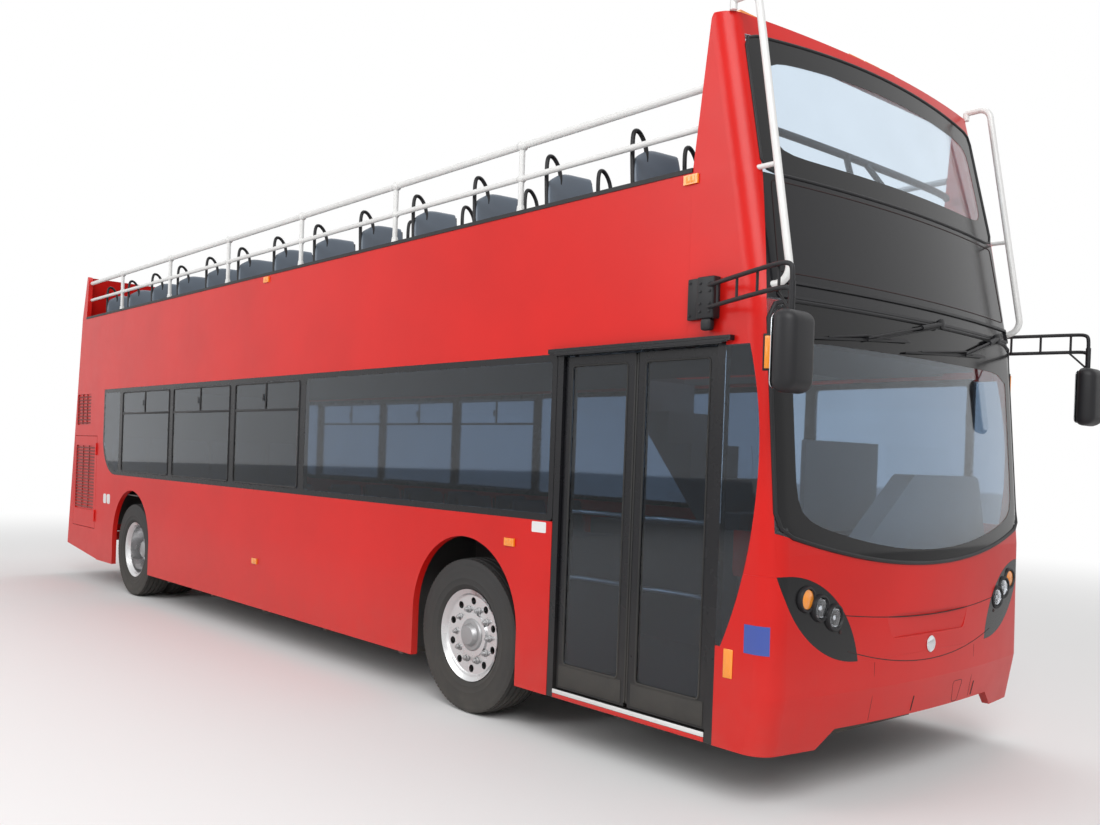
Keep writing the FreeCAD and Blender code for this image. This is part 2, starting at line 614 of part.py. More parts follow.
def make_window_band():
    """Black bonded window band: a frame with its panes, which the upper deck stands on."""
    glass = []
    frames = []
    for s, sign in SIDES.items():
        front_y = S.band_front_y if sign == RIGHT else S.jamb_y
        front_y += 2 * S.seam
        cells = pane_edges(front_y)
        if sign == LEFT:
            middle = S.door_rear_y
            cells = [(cells[0][0], middle - S.pillar_w / 2), (middle + S.pillar_w / 2, cells[0][1])] + cells[1:]
        holes = [pane_outline(a, b, 0, i == len(cells) - 1) for i, (a, b) in enumerate(cells)]
        offset = "-body_width/2" if sign == RIGHT else "body_width/2 - frame_t"
        frames.append(padded(f"window_frame_{s}", "YZ_Plane", offset, "frame_t",
                             [rounded(band_outline(front_y, -S.seam))] + holes))
        for i, (a, b) in enumerate(cells):
            outer = sign * (HALF - S.pane_in)
            inner = sign * (HALF - S.pane_in - S.pane_t)
            glass.append(prism_along_x(f"pane_{s}_{i}", pane_outline(a, b, S.seam, i == len(cells) - 1),
                                       min(outer, inner), max(outer, inner)))
        quarter = prism_along_x(f"quarter_{s}", quarter_outline(0), min(0, sign * S.body_width),
                                max(0, sign * S.body_width))
        glass.append(common(f"quarter_glass_{s}", nose_glass, quarter))
        piece(frames[-1], f"window_frame_{s}")
    piece(shaped_compound("side_glass", glass), "side_glass")


def shaped_compound(name, objects):
    """Like pieces that share a node, as solids that don't touch."""
    obj = doc.addObject("Part::Compound", name)
    obj.Links = objects
    return obj


def make_side_upper():
    """Upper side panels with the dark cap that the deck's rails stand on."""
    for s, sign in SIDES.items():
        corners = [(S.pillar_foot_y + S.seam, S.band_top_z + S.seam), (S.tail_split_y - S.seam, S.band_top_z + S.seam),
                   (S.tail_split_y - S.seam, S.panel_top_z - S.cap_high),
                   (S.pillar_foot_y + S.seam, S.panel_top_z - S.cap_high)]
        offset = "-body_width/2" if sign == RIGHT else "body_width/2 - wall"
        piece(padded(f"side_upper_{s}", "YZ_Plane", offset, "wall", [rounded(corners)]), f"side_upper_{s}")
    caps = []
    for s, sign in SIDES.items():
        low, high = ("-body_width/2 - cap_out", "-body_width/2 + wall + cap_out")
        if sign == LEFT:
            low, high = "body_width/2 - wall - cap_out", "body_width/2 + cap_out"
        caps.append(block(f"cap_{s}", (low, high), ("pillar_foot_y + seam", "tail_return_y - seam"),
                          ("panel_top_z - cap_high + seam", "panel_top_z")))
    piece(shaped_compound("side_caps", caps), "side_caps")


# Tail

tail_block = tail_solid("tail_block", 0)
tail_wall = cut("tail_wall", tail_block, tail_solid("tail_inside", S.wall, -S.overrun))


def hatch_outline(grow):
    half, r = S.hatch_half + grow, S.hatch_r
    low, high = S.hatch_low_z - grow, S.hatch_top_z + grow
    return rounded([(-half, low, r), (half, low, r), (half, high, r), (-half, high, r)])


def service_outline(grow):
    low, high = S.service_low_z - grow, S.service_top_z + grow
    return rounded([(S.service_front_y - grow, low), (S.service_tail_y + grow, low),
                    (S.service_tail_y + grow, high), (S.service_front_y - grow, high)])


def grille_outline(front_y, tail_y, low_z, top_z):
    r = S.pane_corner_r
    return rounded([(front_y, low_z, r), (tail_y, low_z, r), (tail_y, top_z, r), (front_y, top_z, r)])


def hatch_hinge_axis():
    """Point on the engine door's hinge line, above its skin where the hinges sit."""
    lean = S.tail_panel_back / (S.panel_top_z - S.tail_foot_z)
    z = S.hatch_top_z + S.door_gap / 2
    bow = S.tail_bow_r - math.sqrt(S.tail_bow_r ** 2 - S.hatch_hinge_x ** 2)
    skin_y = S.tail_y - lean * (z - S.tail_foot_z) - bow
    out = Vector(0, 1, lean).normalize() * (S.hinge_d / 2 + S.running_gap + S.hatch_hinge_lift)
    return Vector(0, skin_y, z) + out


def hinge_set(tag, axis_foot, along, to_door, inward):
    """One hinge: its middle barrel goes with the door and the outer two stay with the body."""
    g = S.running_gap
    side_len = S.hinge_len / 2
    parts = {"door": [], "body": []}
    for owner, start, length, toward in (("door", -side_len + g, S.hinge_len - 2 * g, to_door),
                                         ("body", -2 * side_len, side_len, -to_door),
                                         ("body", side_len, side_len, -to_door)):
        foot = axis_foot + along * start
        barrel = Part.makeCylinder(S.hinge_d / 2, length, foot, along)
        corner = foot + inward * (S.hinge_d / 2 + g - S.hinge_t)
        edges = [corner, corner + toward * S.hinge_plate, corner + toward * S.hinge_plate + inward * 3 * S.hinge_t,
                 corner + inward * 3 * S.hinge_t]
        web = Part.Face(Part.makePolygon(edges + [edges[0]])).extrude(along * length)
        parts[owner].append(barrel.fuse(web))
    return parts


def make_tail():
    hatch_front_y = S.tail_y - 3 * S.tail_corner_r
    hatch_hole = prism_along_y("hatch_hole", hatch_outline(S.door_gap), hatch_front_y, S.tail_y + S.overrun)
    service_hole = prism_along_x("service_hole", service_outline(S.door_gap), -S.body_width, S.body_width)
    foot = prism_along_x("tail_foot", rounded([
        (S.tail_split_y - S.overrun, S.skirt_z - S.overrun), (S.tail_y + S.overrun, S.skirt_z - S.overrun),
        (S.tail_y + S.overrun, S.tail_foot_z), (S.tail_split_y - S.overrun, S.skirt_z)]),
        -S.body_width, S.body_width)
    above = block("tail_above", ("-body_width", "body_width"), ("tail_split_y - overrun", "tail_y + overrun"),
                  ("band_top_z", "tail_top_z + overrun"))
    vents = []
    for s, sign in SIDES.items():
        edges = grille_outline(S.vent_front_y, S.vent_tail_y, S.vent_low_z, S.vent_top_z)
        skin = sign * HALF
        deep = sign * (HALF - S.grille_deep)
        vents.append(prism_along_x(f"vent_{s}", edges, min(skin * 1.1, deep), max(skin * 1.1, deep)))
    lower = cut("tail_shell", tail_wall, hatch_hole, service_hole, foot, above, *vents)
    on_body = []
    on_door = {s: [] for s in SIDES}
    reach = S.hinge_d / 2 + S.running_gap
    for s, sign in SIDES.items():
        for z in (S.service_low_z + S.hinge_inset_z, S.service_top_z - S.hinge_inset_z):
            foot_point = Vector(sign * (HALF + reach), S.service_front_y - S.door_gap / 2, z)
            found = hinge_set(s, foot_point, Vector(0, 0, 1), Vector(0, 1, 0), Vector(-sign, 0, 0))
            on_body += found["body"]
            on_door[s] += found["door"]
    lean = (S.tail_panel_back) / (S.panel_top_z - S.tail_foot_z)
    down = Vector(0, lean, -1).normalize()
    inward = Vector(0, -1, -lean).normalize()
    hatch_axis = hatch_hinge_axis()
    on_hatch = []
    for x in (-S.hatch_hinge_x, S.hatch_hinge_x):
        found = hinge_set("hatch", hatch_axis + Vector(x, 0, 0), Vector(1, 0, 0), down, inward)
        on_body += found["body"]
        on_hatch += found["door"]
    piece(join("tail_lower", lower, *[shaped(f"body_hinge_{i}", b) for i, b in enumerate(on_body)]), "tail_lower")

    below = block("tail_below", ("-body_width", "body_width"), ("tail_split_y - 2 * overrun", "tail_y + overrun"),
                  ("0", "band_top_z + seam"))
    step = prism_along_x("tail_step", rounded([
        (S.tail_split_y - 2 * S.overrun, S.panel_top_z), (S.tail_return_y, S.panel_top_z),
        (S.tail_return_y, S.tail_top_z, S.tail_head_r),
        (S.tail_return_y + 2 * S.tail_head_r, S.tail_top_z + S.overrun),
        (S.tail_split_y - 2 * S.overrun, S.tail_top_z + S.overrun)]), -S.body_width, S.body_width)
    cap_seat = block("cap_seat", ("-body_width", "body_width"), ("tail_split_y - 2 * overrun", "tail_return_y"),
                     ("panel_top_z - cap_high", "panel_top_z + overrun"))
    piece(cut("tail_upper", tail_wall, below, step, cap_seat), "tail_upper")

    hatch = common("hatch", tail_wall, prism_along_y("hatch_body", hatch_outline(0), hatch_front_y,
                                                     S.tail_y + S.overrun))
    piece(join("engine_door", hatch, *[shaped(f"hatch_hinge_{i}", d) for i, d in enumerate(on_hatch)]), "engine_door")
    for s, sign in SIDES.items():
        low = "-body_width/2" if sign == RIGHT else "body_width/2 - wall"
        door = padded(f"service_slab_{s}", "YZ_Plane", low, "wall", [service_outline(0)])
        skin, deep = sign * HALF * 1.1, sign * (HALF - S.grille_deep)
        recess = prism_along_x(f"grille_recess_{s}", grille_outline(
            S.grille_front_y, S.grille_tail_y, S.grille_low_z, S.grille_top_z), min(skin, deep), max(skin, deep))
        slab = cut(f"service_slab_cut_{s}", door, recess)
        leaves = [shaped(f"service_hinge_{s}_{i}", d) for i, d in enumerate(on_door[s])]
        piece(join(f"service_door_{s}", slab, *leaves), f"service_door_{s}")


# Frame, floors and stairs

def make_frame():
    """Ladder frame: low between the axles and kicked up over the rear axle."""
    low, high = S.rail_low_z, S.rail_low_z + S.rail_high
    kick = S.rail_kick_z
    rails = []
    for s, sign in SIDES.items():
        x0 = sign * S.rail_half
        x1 = sign * (S.rail_half + S.rail_w)
        outline = rounded([
            (S.rail_front_y, low), (S.kick_y + S.kick_run, low), (S.kick_y + S.kick_run, kick),
            (S.rail_tail_y, kick), (S.rail_tail_y, kick + S.rail_high), (S.kick_y, kick + S.rail_high),
            (S.kick_y, high), (S.rail_front_y, high)])
        rails.append(prism_along_x(f"rail_{s}", outline, min(x0, x1), max(x0, x1)))
    pieces = list(rails)
    span = S.kick_y - S.rail_front_y - S.cross_w
    for i in range(int(S.cross_count)):
        y = S.rail_front_y + i * span / (S.cross_count - 1)
        pieces.append(plain_box(f"cross_{i}", -S.rail_half - S.lap, S.rail_half + S.lap, y, y + S.cross_w, low, high))
    for i, y in enumerate((S.kick_y, S.rear_axle_y + S.box_half_y, S.rail_tail_y - S.cross_w)):
        pieces.append(plain_box(f"high_cross_{i}", -S.rail_half - S.lap, S.rail_half + S.lap, y, y + S.cross_w,
                                kick, kick + S.rail_high))
    reach = HALF - S.wall - S.running_gap
    start, end = S.front_axle_y + S.arch_half + 2 * S.cross_w, S.kick_y - 2 * S.cross_w
    for i in range(int(S.outrigger_count)):
        y = start + i * (end - start) / (S.outrigger_count - 1)
        for s, sign in SIDES.items():
            a, b = sign * (S.rail_half + S.rail_w - S.lap), sign * reach
            pieces.append(plain_box(f"outrigger_{s}_{i}", min(a, b), max(a, b), y, y + S.cross_w / 2,
                                    high - S.rail_high / 2, high))
    piece(join("chassis_frame", *pieces), "chassis_frame")


def plain_box(name, x0, x1, y0, y1, z0, z1):
    return shaped(name, Part.makeBox(x1 - x0, y1 - y0, z1 - z0, Vector(x0, y0, z0)))


def wheel_box(name, axle_y, inner_x, low_z, top_z, sign):
    """A cover over one wheel, open below and towards the arch."""
    outer_x = HALF - S.wall - S.running_gap
    a, b = sign * inner_x, sign * outer_x
    shell = plain_box(name + "_outer", min(a, b), max(a, b), axle_y - S.box_half_y, axle_y + S.box_half_y,
                      low_z, top_z)
    c, d = sign * (inner_x + S.box_wall), sign * (outer_x + S.overrun)
    hollow = plain_box(name + "_inner", min(c, d), max(c, d), axle_y - S.box_half_y + S.box_wall,
                       axle_y + S.box_half_y - S.box_wall, 0, top_z - S.box_wall)
    return shell, hollow


def make_lower_floor():
    """Low floor with its rear step, and the covers over the wheels."""
    half = HALF - S.wall - S.running_gap
    foot = S.floor_top_z - S.floor_t
    low = plain_box("floor_low", -half, half, S.jamb_y + S.door_jamb, S.step_y, foot, S.floor_top_z)
    riser = plain_box("floor_riser", -half, half, S.step_y - S.floor_t, S.step_y, foot, S.rear_floor_z)
    high = plain_box("floor_high", -half, half, S.step_y - S.floor_t, S.bulkhead_y,
                     S.rear_floor_z - S.floor_t, S.rear_floor_z)
    nose_in = S.nose_corner_r + S.wall
    toe = plain_box("floor_toe", -half + nose_in, half - nose_in, S.floor_front_y, S.jamb_y + S.door_jamb,
                    foot, S.floor_top_z)
    wall = plain_box("bulkhead", -half, half, S.bulkhead_y - S.floor_t, S.bulkhead_y, S.rear_floor_z,
                     S.deck_z - S.running_gap)
    shells, hollows = [], []
    for s, sign in SIDES.items():
        for name, axle_y, inner, low_z, top_z in (
                ("front", S.front_axle_y, S.box_inner_x, foot, S.box_top_z),
                ("rear", S.rear_axle_y, S.rear_box_inner_x, S.rear_floor_z - S.floor_t, S.rear_box_top_z)):
            shell, hollow = wheel_box(f"wheel_box_{name}_{s}", axle_y, inner, low_z, top_z, sign)
            shells.append(shell)
            hollows.append(hollow)
    solid = join("floor_solid", low, riser, high, toe, wall, *shells)
    floor = cut("lower_floor", solid, *hollows)
    piece(floor, "lower_floor")


def stair_top_y():
    return S.stair_foot_y + S.stair_tread * S.stair_rise_count


def make_upper_deck():
    """Upper deck with the hole that the stairs come up through."""
    half = HALF - S.wall - S.running_gap
    nose_in = S.nose_corner_r + S.wall
    plate = plain_box("deck_plate", -half, half, S.pillar_foot_y - S.wall, S.deck_tail_y, S.deck_z, S.deck_z + S.deck_t)
    toe = plain_box("deck_toe", -half + nose_in, half - nose_in, S.deck_front_y, S.pillar_foot_y - S.wall + S.lap,
                    S.deck_z, S.deck_z + S.deck_t)
    hole = plain_box("stair_hole", S.stair_x - S.floor_t, S.stair_x + S.stair_w, S.stair_foot_y + S.stair_tread,
                     stair_top_y() - S.stair_tread / 2, S.deck_z - S.overrun, S.deck_z + S.deck_t + S.overrun)
    piece(cut("upper_deck", join("deck_solid", plate, toe), hole), "upper_deck")


def make_stairs():
    """Closed flight behind the driver's cab, from its saw-tooth side outline."""
    count = int(S.stair_rise_count)
    rise = (S.deck_z - S.floor_top_z - S.running_gap) / count
    corners = []
    for i in range(count):
        y = S.stair_foot_y + i * S.stair_tread
        corners += [(y, S.floor_top_z + S.running_gap + i * rise), (y, S.floor_top_z + S.running_gap + (i + 1) * rise)]
    end_y = stair_top_y() - S.stair_tread / 2 - S.running_gap
    top_z = S.floor_top_z + S.running_gap + count * rise
    corners += [(end_y, top_z), (end_y, top_z - rise), (S.stair_foot_y + S.stair_tread + S.stair_t, S.floor_top_z + S.running_gap)]
    flight = prism_along_x("flight", rounded(corners), S.stair_x, S.stair_x + S.stair_w - S.running_gap)
    g = S.running_gap
    over_box = plain_box("stair_box_room", 0, HALF, S.front_axle_y - S.box_half_y - g, S.front_axle_y + S.box_half_y + g,
                         0, S.box_top_z + g)
    piece(cut("stair_flight", flight, over_box), "stairs")


def make_engine():
    low = S.rail_kick_z + S.rail_high + S.running_gap
    piece(plain_box("engine", -S.engine_w / 2, S.engine_w / 2, S.engine_y, S.engine_y + S.engine_len,
                    low, low + S.engine_high), "engine_block")


# Axles, knuckles and wheels

def make_front_axle():
    """Dropped beam below the low floor, with goose necks up to the kingpins."""
    low, top = S.beam_low_z, S.beam_low_z + S.beam_high
    eye_low = S.tyre_r - S.fork_high / 2
    eye_high = S.tyre_r + S.fork_high / 2
    outer = S.kingpin_x - S.beam_end_back
    neck, shoulder, foot = S.beam_drop_half, S.beam_drop_half - S.beam_neck_run, S.beam_drop_half - S.beam_foot_run
    bend, fillet, eye_in = S.beam_bend_r, S.beam_neck_r, S.beam_drop_half + S.beam_eye_run
    corners = [(-outer, eye_low), (-outer, eye_high), (-neck, eye_high, fillet), (-shoulder, top, bend),
               (shoulder, top, bend), (neck, eye_high, fillet), (outer, eye_high), (outer, eye_low),
               (eye_in, eye_low, fillet), (foot, low, bend), (-foot, low, bend), (-eye_in, eye_low, fillet)]
    beam = prism_along_y("front_beam", rounded(corners), S.front_axle_y - S.beam_half_depth,
                         S.front_axle_y + S.beam_half_depth)
    parts = [beam]
    for s, sign in SIDES.items():
        x = sign * (S.rail_half + S.rail_w / 2)
        parts.append(plain_box(f"spring_seat_{s}", x - S.rail_w / 2, x + S.rail_w / 2,
                               S.front_axle_y - S.beam_half_depth, S.front_axle_y + S.beam_half_depth,
                               top - S.lap, S.rail_low_z - S.running_gap))
        parts.append(shaped(f"eye_{s}", Part.makeCylinder(
            S.eye_r, S.fork_high, Vector(sign * S.kingpin_x, S.front_axle_y, eye_low))))
    solid = join("front_axle_solid", *parts)
    pins = []
    for s, sign in SIDES.items():
        pins.append(shaped(f"kingpin_hole_{s}", Part.makeCylinder(
            S.kingpin_r + S.running_gap / 6, 2 * S.fork_high + S.overrun,
            Vector(sign * S.kingpin_x, S.front_axle_y, eye_low - S.overrun / 2))))
    piece(cut("front_axle", solid, *pins), "front_axle")


def make_knuckles():
    """Forked knuckle with its kingpin, spindle and steering arm."""
    for s, sign in SIDES.items():
        x, y, z = sign * S.kingpin_x, S.front_axle_y, S.tyre_r
        eye_half = S.fork_high / 2
        parts = []
        for tag, direction in (("low", -1), ("high", 1)):
            z0 = z + direction * (eye_half + S.fork_gap)
            z1 = z0 + direction * S.knuckle_thick
            parts.append(plain_box(f"ear_{tag}_{s}", min(x - S.knuckle_half, x + S.knuckle_half),
                                   max(x - S.knuckle_half, x + S.knuckle_half),
                                   y - S.beam_half_depth, y + S.beam_half_depth, min(z0, z1), max(z0, z1)))
        a = x + sign * (S.knuckle_half / 2 + S.fork_gap)
        b = x + sign * S.knuckle_half
        reach = eye_half + S.fork_gap + S.knuckle_thick
        parts.append(plain_box(f"web_{s}", min(a, b), max(a, b), y - S.beam_half_depth, y + S.beam_half_depth,
                               z - reach, z + reach))
        parts.append(shaped(f"kingpin_{s}", Part.makeCylinder(
            S.kingpin_r, 2 * (reach - S.lap), Vector(x, y, z - reach + S.lap))))
        parts.append(shaped(f"spindle_{s}", Part.makeCylinder(
            S.spindle_r, S.spindle_len, Vector(b - sign, y, z), Vector(sign, 0, 0))))
        c = x - S.steer_arm_w / 2
        parts.append(plain_box(f"arm_{s}", c, c + S.steer_arm_w, y + S.beam_half_depth - S.lap,
                               y + S.steer_arm_len, z - reach, z - reach + S.steer_arm_t))
        piece(join(f"knuckle_{s}", *parts), f"knuckle_{s}")


def make_rear_axle():
    """Straight axle housing with its differential, spring seats and hub ends."""
    reach = S.tyre_face_x - S.tyre_w - S.rim_wall - S.rear_dish
    tube = shaped("rear_tube", Part.makeCylinder(S.rear_tube_r, 2 * reach, Vector(-reach, S.rear_axle_y, S.tyre_r),
                                                 Vector(1, 0, 0)))
    ball = shaped("differential", Part.makeSphere(S.diff_r, Vector(S.diff_x, S.rear_axle_y, S.tyre_r), Vector(1, 0, 0)))
    parts = [tube, ball]
    for s, sign in SIDES.items():
        x = sign * (S.rail_half + S.rail_w / 2)
        parts.append(plain_box(f"rear_seat_{s}", x - S.rail_w / 2, x + S.rail_w / 2, S.rear_axle_y - S.rear_tube_r,
                               S.rear_axle_y + S.rear_tube_r, S.tyre_r, S.rail_kick_z - S.running_gap))
        parts.append(shaped(f"rear_spindle_{s}", Part.makeCylinder(
            S.spindle_r, S.rear_dish, Vector(sign * (reach - S.lap), S.rear_axle_y, S.tyre_r), Vector(sign, 0, 0))))
    piece(join("rear_axle", *parts), "rear_axle")


def tyre_section(outer_x):
    """Half section of one tyre, as radius and place along the axle, from its outer face inwards."""
    a, b = outer_x, outer_x - S.tyre_w
    bulge = S.tyre_shoulder_r
    return rounded([(S.bead_r + S.seam, a - bulge * 0.7), (S.bead_r + (S.tyre_r - S.bead_r) * 0.45, a, S.sidewall_r),
                    (S.tyre_r, a - bulge * 0.25, bulge), (S.tyre_r, b + bulge * 0.25, bulge),
                    (S.bead_r + (S.tyre_r - S.bead_r) * 0.45, b, S.sidewall_r), (S.bead_r + S.seam, b + bulge * 0.7)])


def rim_section(outer_x, dish):
    """Half section of a wheel: flange, drop barrel and a disc set in from the outer face."""
    a, b = outer_x - S.tyre_shoulder_r * 0.55, outer_x - S.tyre_w + S.tyre_shoulder_r * 0.55
    r, t = S.rim_r, S.rim_wall
    seat = r - S.rim_drop
    disc = outer_x - dish
    flat = S.disc_r * 0.66
    return rounded([
        (seat, a), (seat, a - t * 1.6), (r - 2 * t, a - t * 2.4), (r - 2.6 * t, b + t * 2.4),
        (seat, b + t * 1.4), (seat, b), (seat - t, b), (r - 3.7 * t, b + t * 2.4),
        (r - 3.7 * t, disc - S.disc_wall - t), (flat, disc - S.disc_wall, S.disc_bend_r), (S.disc_bore_r, disc - S.disc_wall),
        (S.disc_bore_r, disc), (flat, disc, S.disc_bend_r), (r - 3.2 * t, disc + t * 0.4, S.rim_bend_r), (r - 2.2 * t, a - t * 1.2)])


def along_axle(body, y, z, sign):
    """Turns a body that was made about the vertical so that its axis lies along the axle."""
    body.Placement = Placement(Vector(0, y, z), Rotation(Vector(0, 0, 1), Vector(sign, 0, 0)) *
                               Rotation(Vector(1, 0, 0), 90))
    return body


def wheel_disc(name, section):
    """Rim and disc turned in one, then its hand holes repeated round it."""
    body = turned(name, section)
    hole = body.newObject("Sketcher::SketchObject", name + "_hand_hole")
    plane = [f for f in body.Origin.OriginFeatures if f.Role == "XZ_Plane"][0]
    hole.AttachmentSupport = [(plane, "")]
    hole.MapMode = "FlatFace"
    hole.addGeometry(Part.Circle(Vector(S.hand_hole_pcd_r, 0, 0), Vector(0, 0, 1), S.hand_hole_r), False)
    pocket = body.newObject("PartDesign::Pocket", name + "_pocket")
    pocket.Profile = hole
    pocket.Type = "ThroughAll"
    pocket.Midplane = True
    ring = body.newObject("PartDesign::PolarPattern", name + "_ring")
    ring.Originals = [pocket]
    ring.Axis = ([f for f in body.Origin.OriginFeatures if f.Role == "Y_Axis"][0], [""])
    ring.Angle = 360
    bind(ring, Occurrences="hand_hole_count")
    body.Tip = ring
    return body


def make_wheels():
    """Steel hubs and polished discs, single in front and twinned behind."""
    for s, sign in SIDES.items():
        axle = (S.front_axle_y, S.tyre_r, sign)
        tyre = turned(f"front_tyre_{s}", tyre_section(S.tyre_face_x))
        piece(along_axle(tyre, *axle), f"front_tyre_{s}")
        disc = along_axle(wheel_disc(f"front_disc_{s}", rim_section(S.tyre_face_x, S.disc_dish)), *axle)
        hub = front_hub(s, sign)
        piece(join(f"front_wheel_{s}", disc, *hub), f"front_wheel_{s}")

        axle = (S.rear_axle_y, S.tyre_r, sign)
        inner_x = S.tyre_face_x - S.twin_pitch
        outer = along_axle(turned(f"rear_tyre_outer_{s}", tyre_section(S.tyre_face_x)), *axle)
        inner = along_axle(turned(f"rear_tyre_inner_{s}", tyre_section(inner_x)), *axle)
        piece(shaped_compound(f"rear_tyres_{s}", [outer, inner]), f"rear_tyres_{s}")
        disc = along_axle(wheel_disc(f"rear_disc_{s}", deep_section(S.tyre_face_x, S.rear_dish)), *axle)
        barrel = along_axle(turned(f"rear_barrel_{s}", barrel_section(inner_x)), *axle)
        piece(join(f"rear_wheel_{s}", disc, barrel, *rear_hub(s, sign)), f"rear_wheel_{s}")


def barrel_section(outer_x):
    """Inner twin: its plain barrel."""
    a, b = outer_x - S.tyre_shoulder_r * 0.55, outer_x - S.tyre_w + S.tyre_shoulder_r * 0.55
    r, t = S.rim_r, S.rim_wall
    seat = r - S.rim_drop
    return rounded([(seat, a), (seat, a - t * 1.6), (r - 2 * t, a - t * 2.4), (r - 2.6 * t, b + t * 2.4),
                    (seat, b + t * 1.4), (seat, b), (seat - t, b), (r - 3.7 * t, b + t * 2.4),
                    (r - 3.7 * t, a - t * 3.0), (r - 3.0 * t, a)])


def deep_section(outer_x, dish):
    """Outer twin: its barrel, with a cone that runs in to the face between the twins."""
    a, b = outer_x - S.tyre_shoulder_r * 0.55, outer_x - S.tyre_w + S.tyre_shoulder_r * 0.55
    r, t = S.rim_r, S.rim_wall
    seat = r - S.rim_drop
    disc = outer_x - dish
    flat = S.disc_r * 0.66
    return rounded([
        (seat, a), (seat, a - t * 1.6), (r - 2 * t, a - t * 2.4), (r - 2.6 * t, b + t * 2.4),
        (seat, b + t * 1.4), (seat, b), (seat - t, b), (r - 3.7 * t, b + t * 1.6),
        (flat, disc - S.disc_wall, S.rim_bend_r), (S.disc_bore_r, disc - S.disc_wall), (S.disc_bore_r, disc),
        (flat, disc, S.rim_bend_r), (r - 3.7 * t, b + t * 3.6, S.rim_bend_r), (r - 3.4 * t, a - t * 3), (r - 2.2 * t, a - t * 1.2)])


def studs(tag, sign, y, face_x):
    found = []
    phase = S.left_phase_deg if sign == LEFT else 0
    for i in range(int(S.stud_count)):
        angle = math.radians(360 / S.stud_count * i + phase)
        centre = Vector(sign * (face_x - S.stud_root), y + S.stud_pcd_r * math.cos(angle),
                        S.tyre_r + S.stud_pcd_r * math.sin(angle))
        found.append(shaped(f"stud_{tag}_{i}", Part.makeCylinder(S.stud_r, S.stud_len, centre, Vector(sign, 0, 0))))
    return found


def front_hub(s, sign):
    """Hub drum that carries the disc, with its bearing bore on the spindle."""
    disc_back = S.tyre_face_x - S.disc_dish - S.disc_wall
    inner_x = S.kingpin_x + S.knuckle_half + S.fork_gap
    drum_len = disc_back - inner_x + S.lap
    y, z = S.front_axle_y, S.tyre_r
    drum_solid = Part.makeCylinder(S.stud_pcd_r + 2 * S.stud_r, drum_len, Vector(sign * inner_x, y, z), Vector(sign, 0, 0))
    boss = Part.makeCylinder(S.hub_r, S.disc_wall + S.boss_out, Vector(sign * (disc_back - S.lap), y, z), Vector(sign, 0, 0))
    nose = Part.makeCylinder(S.hub_nose_r, S.hub_nose_len, Vector(sign * (disc_back + S.disc_wall), y, z), Vector(sign, 0, 0))
    solid = drum_solid.fuse([boss, nose])
    bore = Part.makeCylinder(S.spindle_r + S.running_gap / 6, S.spindle_len + S.running_gap,
                             Vector(sign * (S.kingpin_x + S.knuckle_half - S.lap), y, z), Vector(sign, 0, 0))
    hub = shaped(f"front_hub_{s}", solid.cut(bore))
    return [hub] + studs(f"front_{s}", sign, y, S.tyre_face_x - S.disc_dish)


def rear_hub(s, sign):
    """Rear hub: a drum inside the twin wheels, turning on the axle's end."""
    disc_back = S.tyre_face_x - S.rear_dish - S.disc_wall
    reach = S.tyre_face_x - S.tyre_w - S.rim_wall - S.rear_dish
    inner_x = reach + S.fork_gap
    y, z = S.rear_axle_y, S.tyre_r
    thick = S.wall * 1.2
    drum_solid = Part.makeCylinder(S.rim_r - 2.6 * S.rim_wall, thick, Vector(sign * (disc_back - thick + S.lap), y, z),
                                   Vector(sign, 0, 0))
    core = Part.makeCylinder(S.rear_hub_r, disc_back - inner_x, Vector(sign * inner_x, y, z), Vector(sign, 0, 0))
    boss = Part.makeCylinder(S.hub_r, S.disc_wall + S.rear_boss_out, Vector(sign * (disc_back - S.lap), y, z), Vector(sign, 0, 0))
    bore = Part.makeCylinder(S.spindle_r + S.running_gap / 6, S.rear_dish + S.running_gap,
                             Vector(sign * (reach - S.lap), y, z), Vector(sign, 0, 0))
    hub = shaped(f"rear_hub_{s}", drum_solid.fuse([core, boss]).cut(bore))
    return [hub] + studs(f"rear_{s}", sign, y, S.tyre_face_x - S.rear_dish)


# Entrance

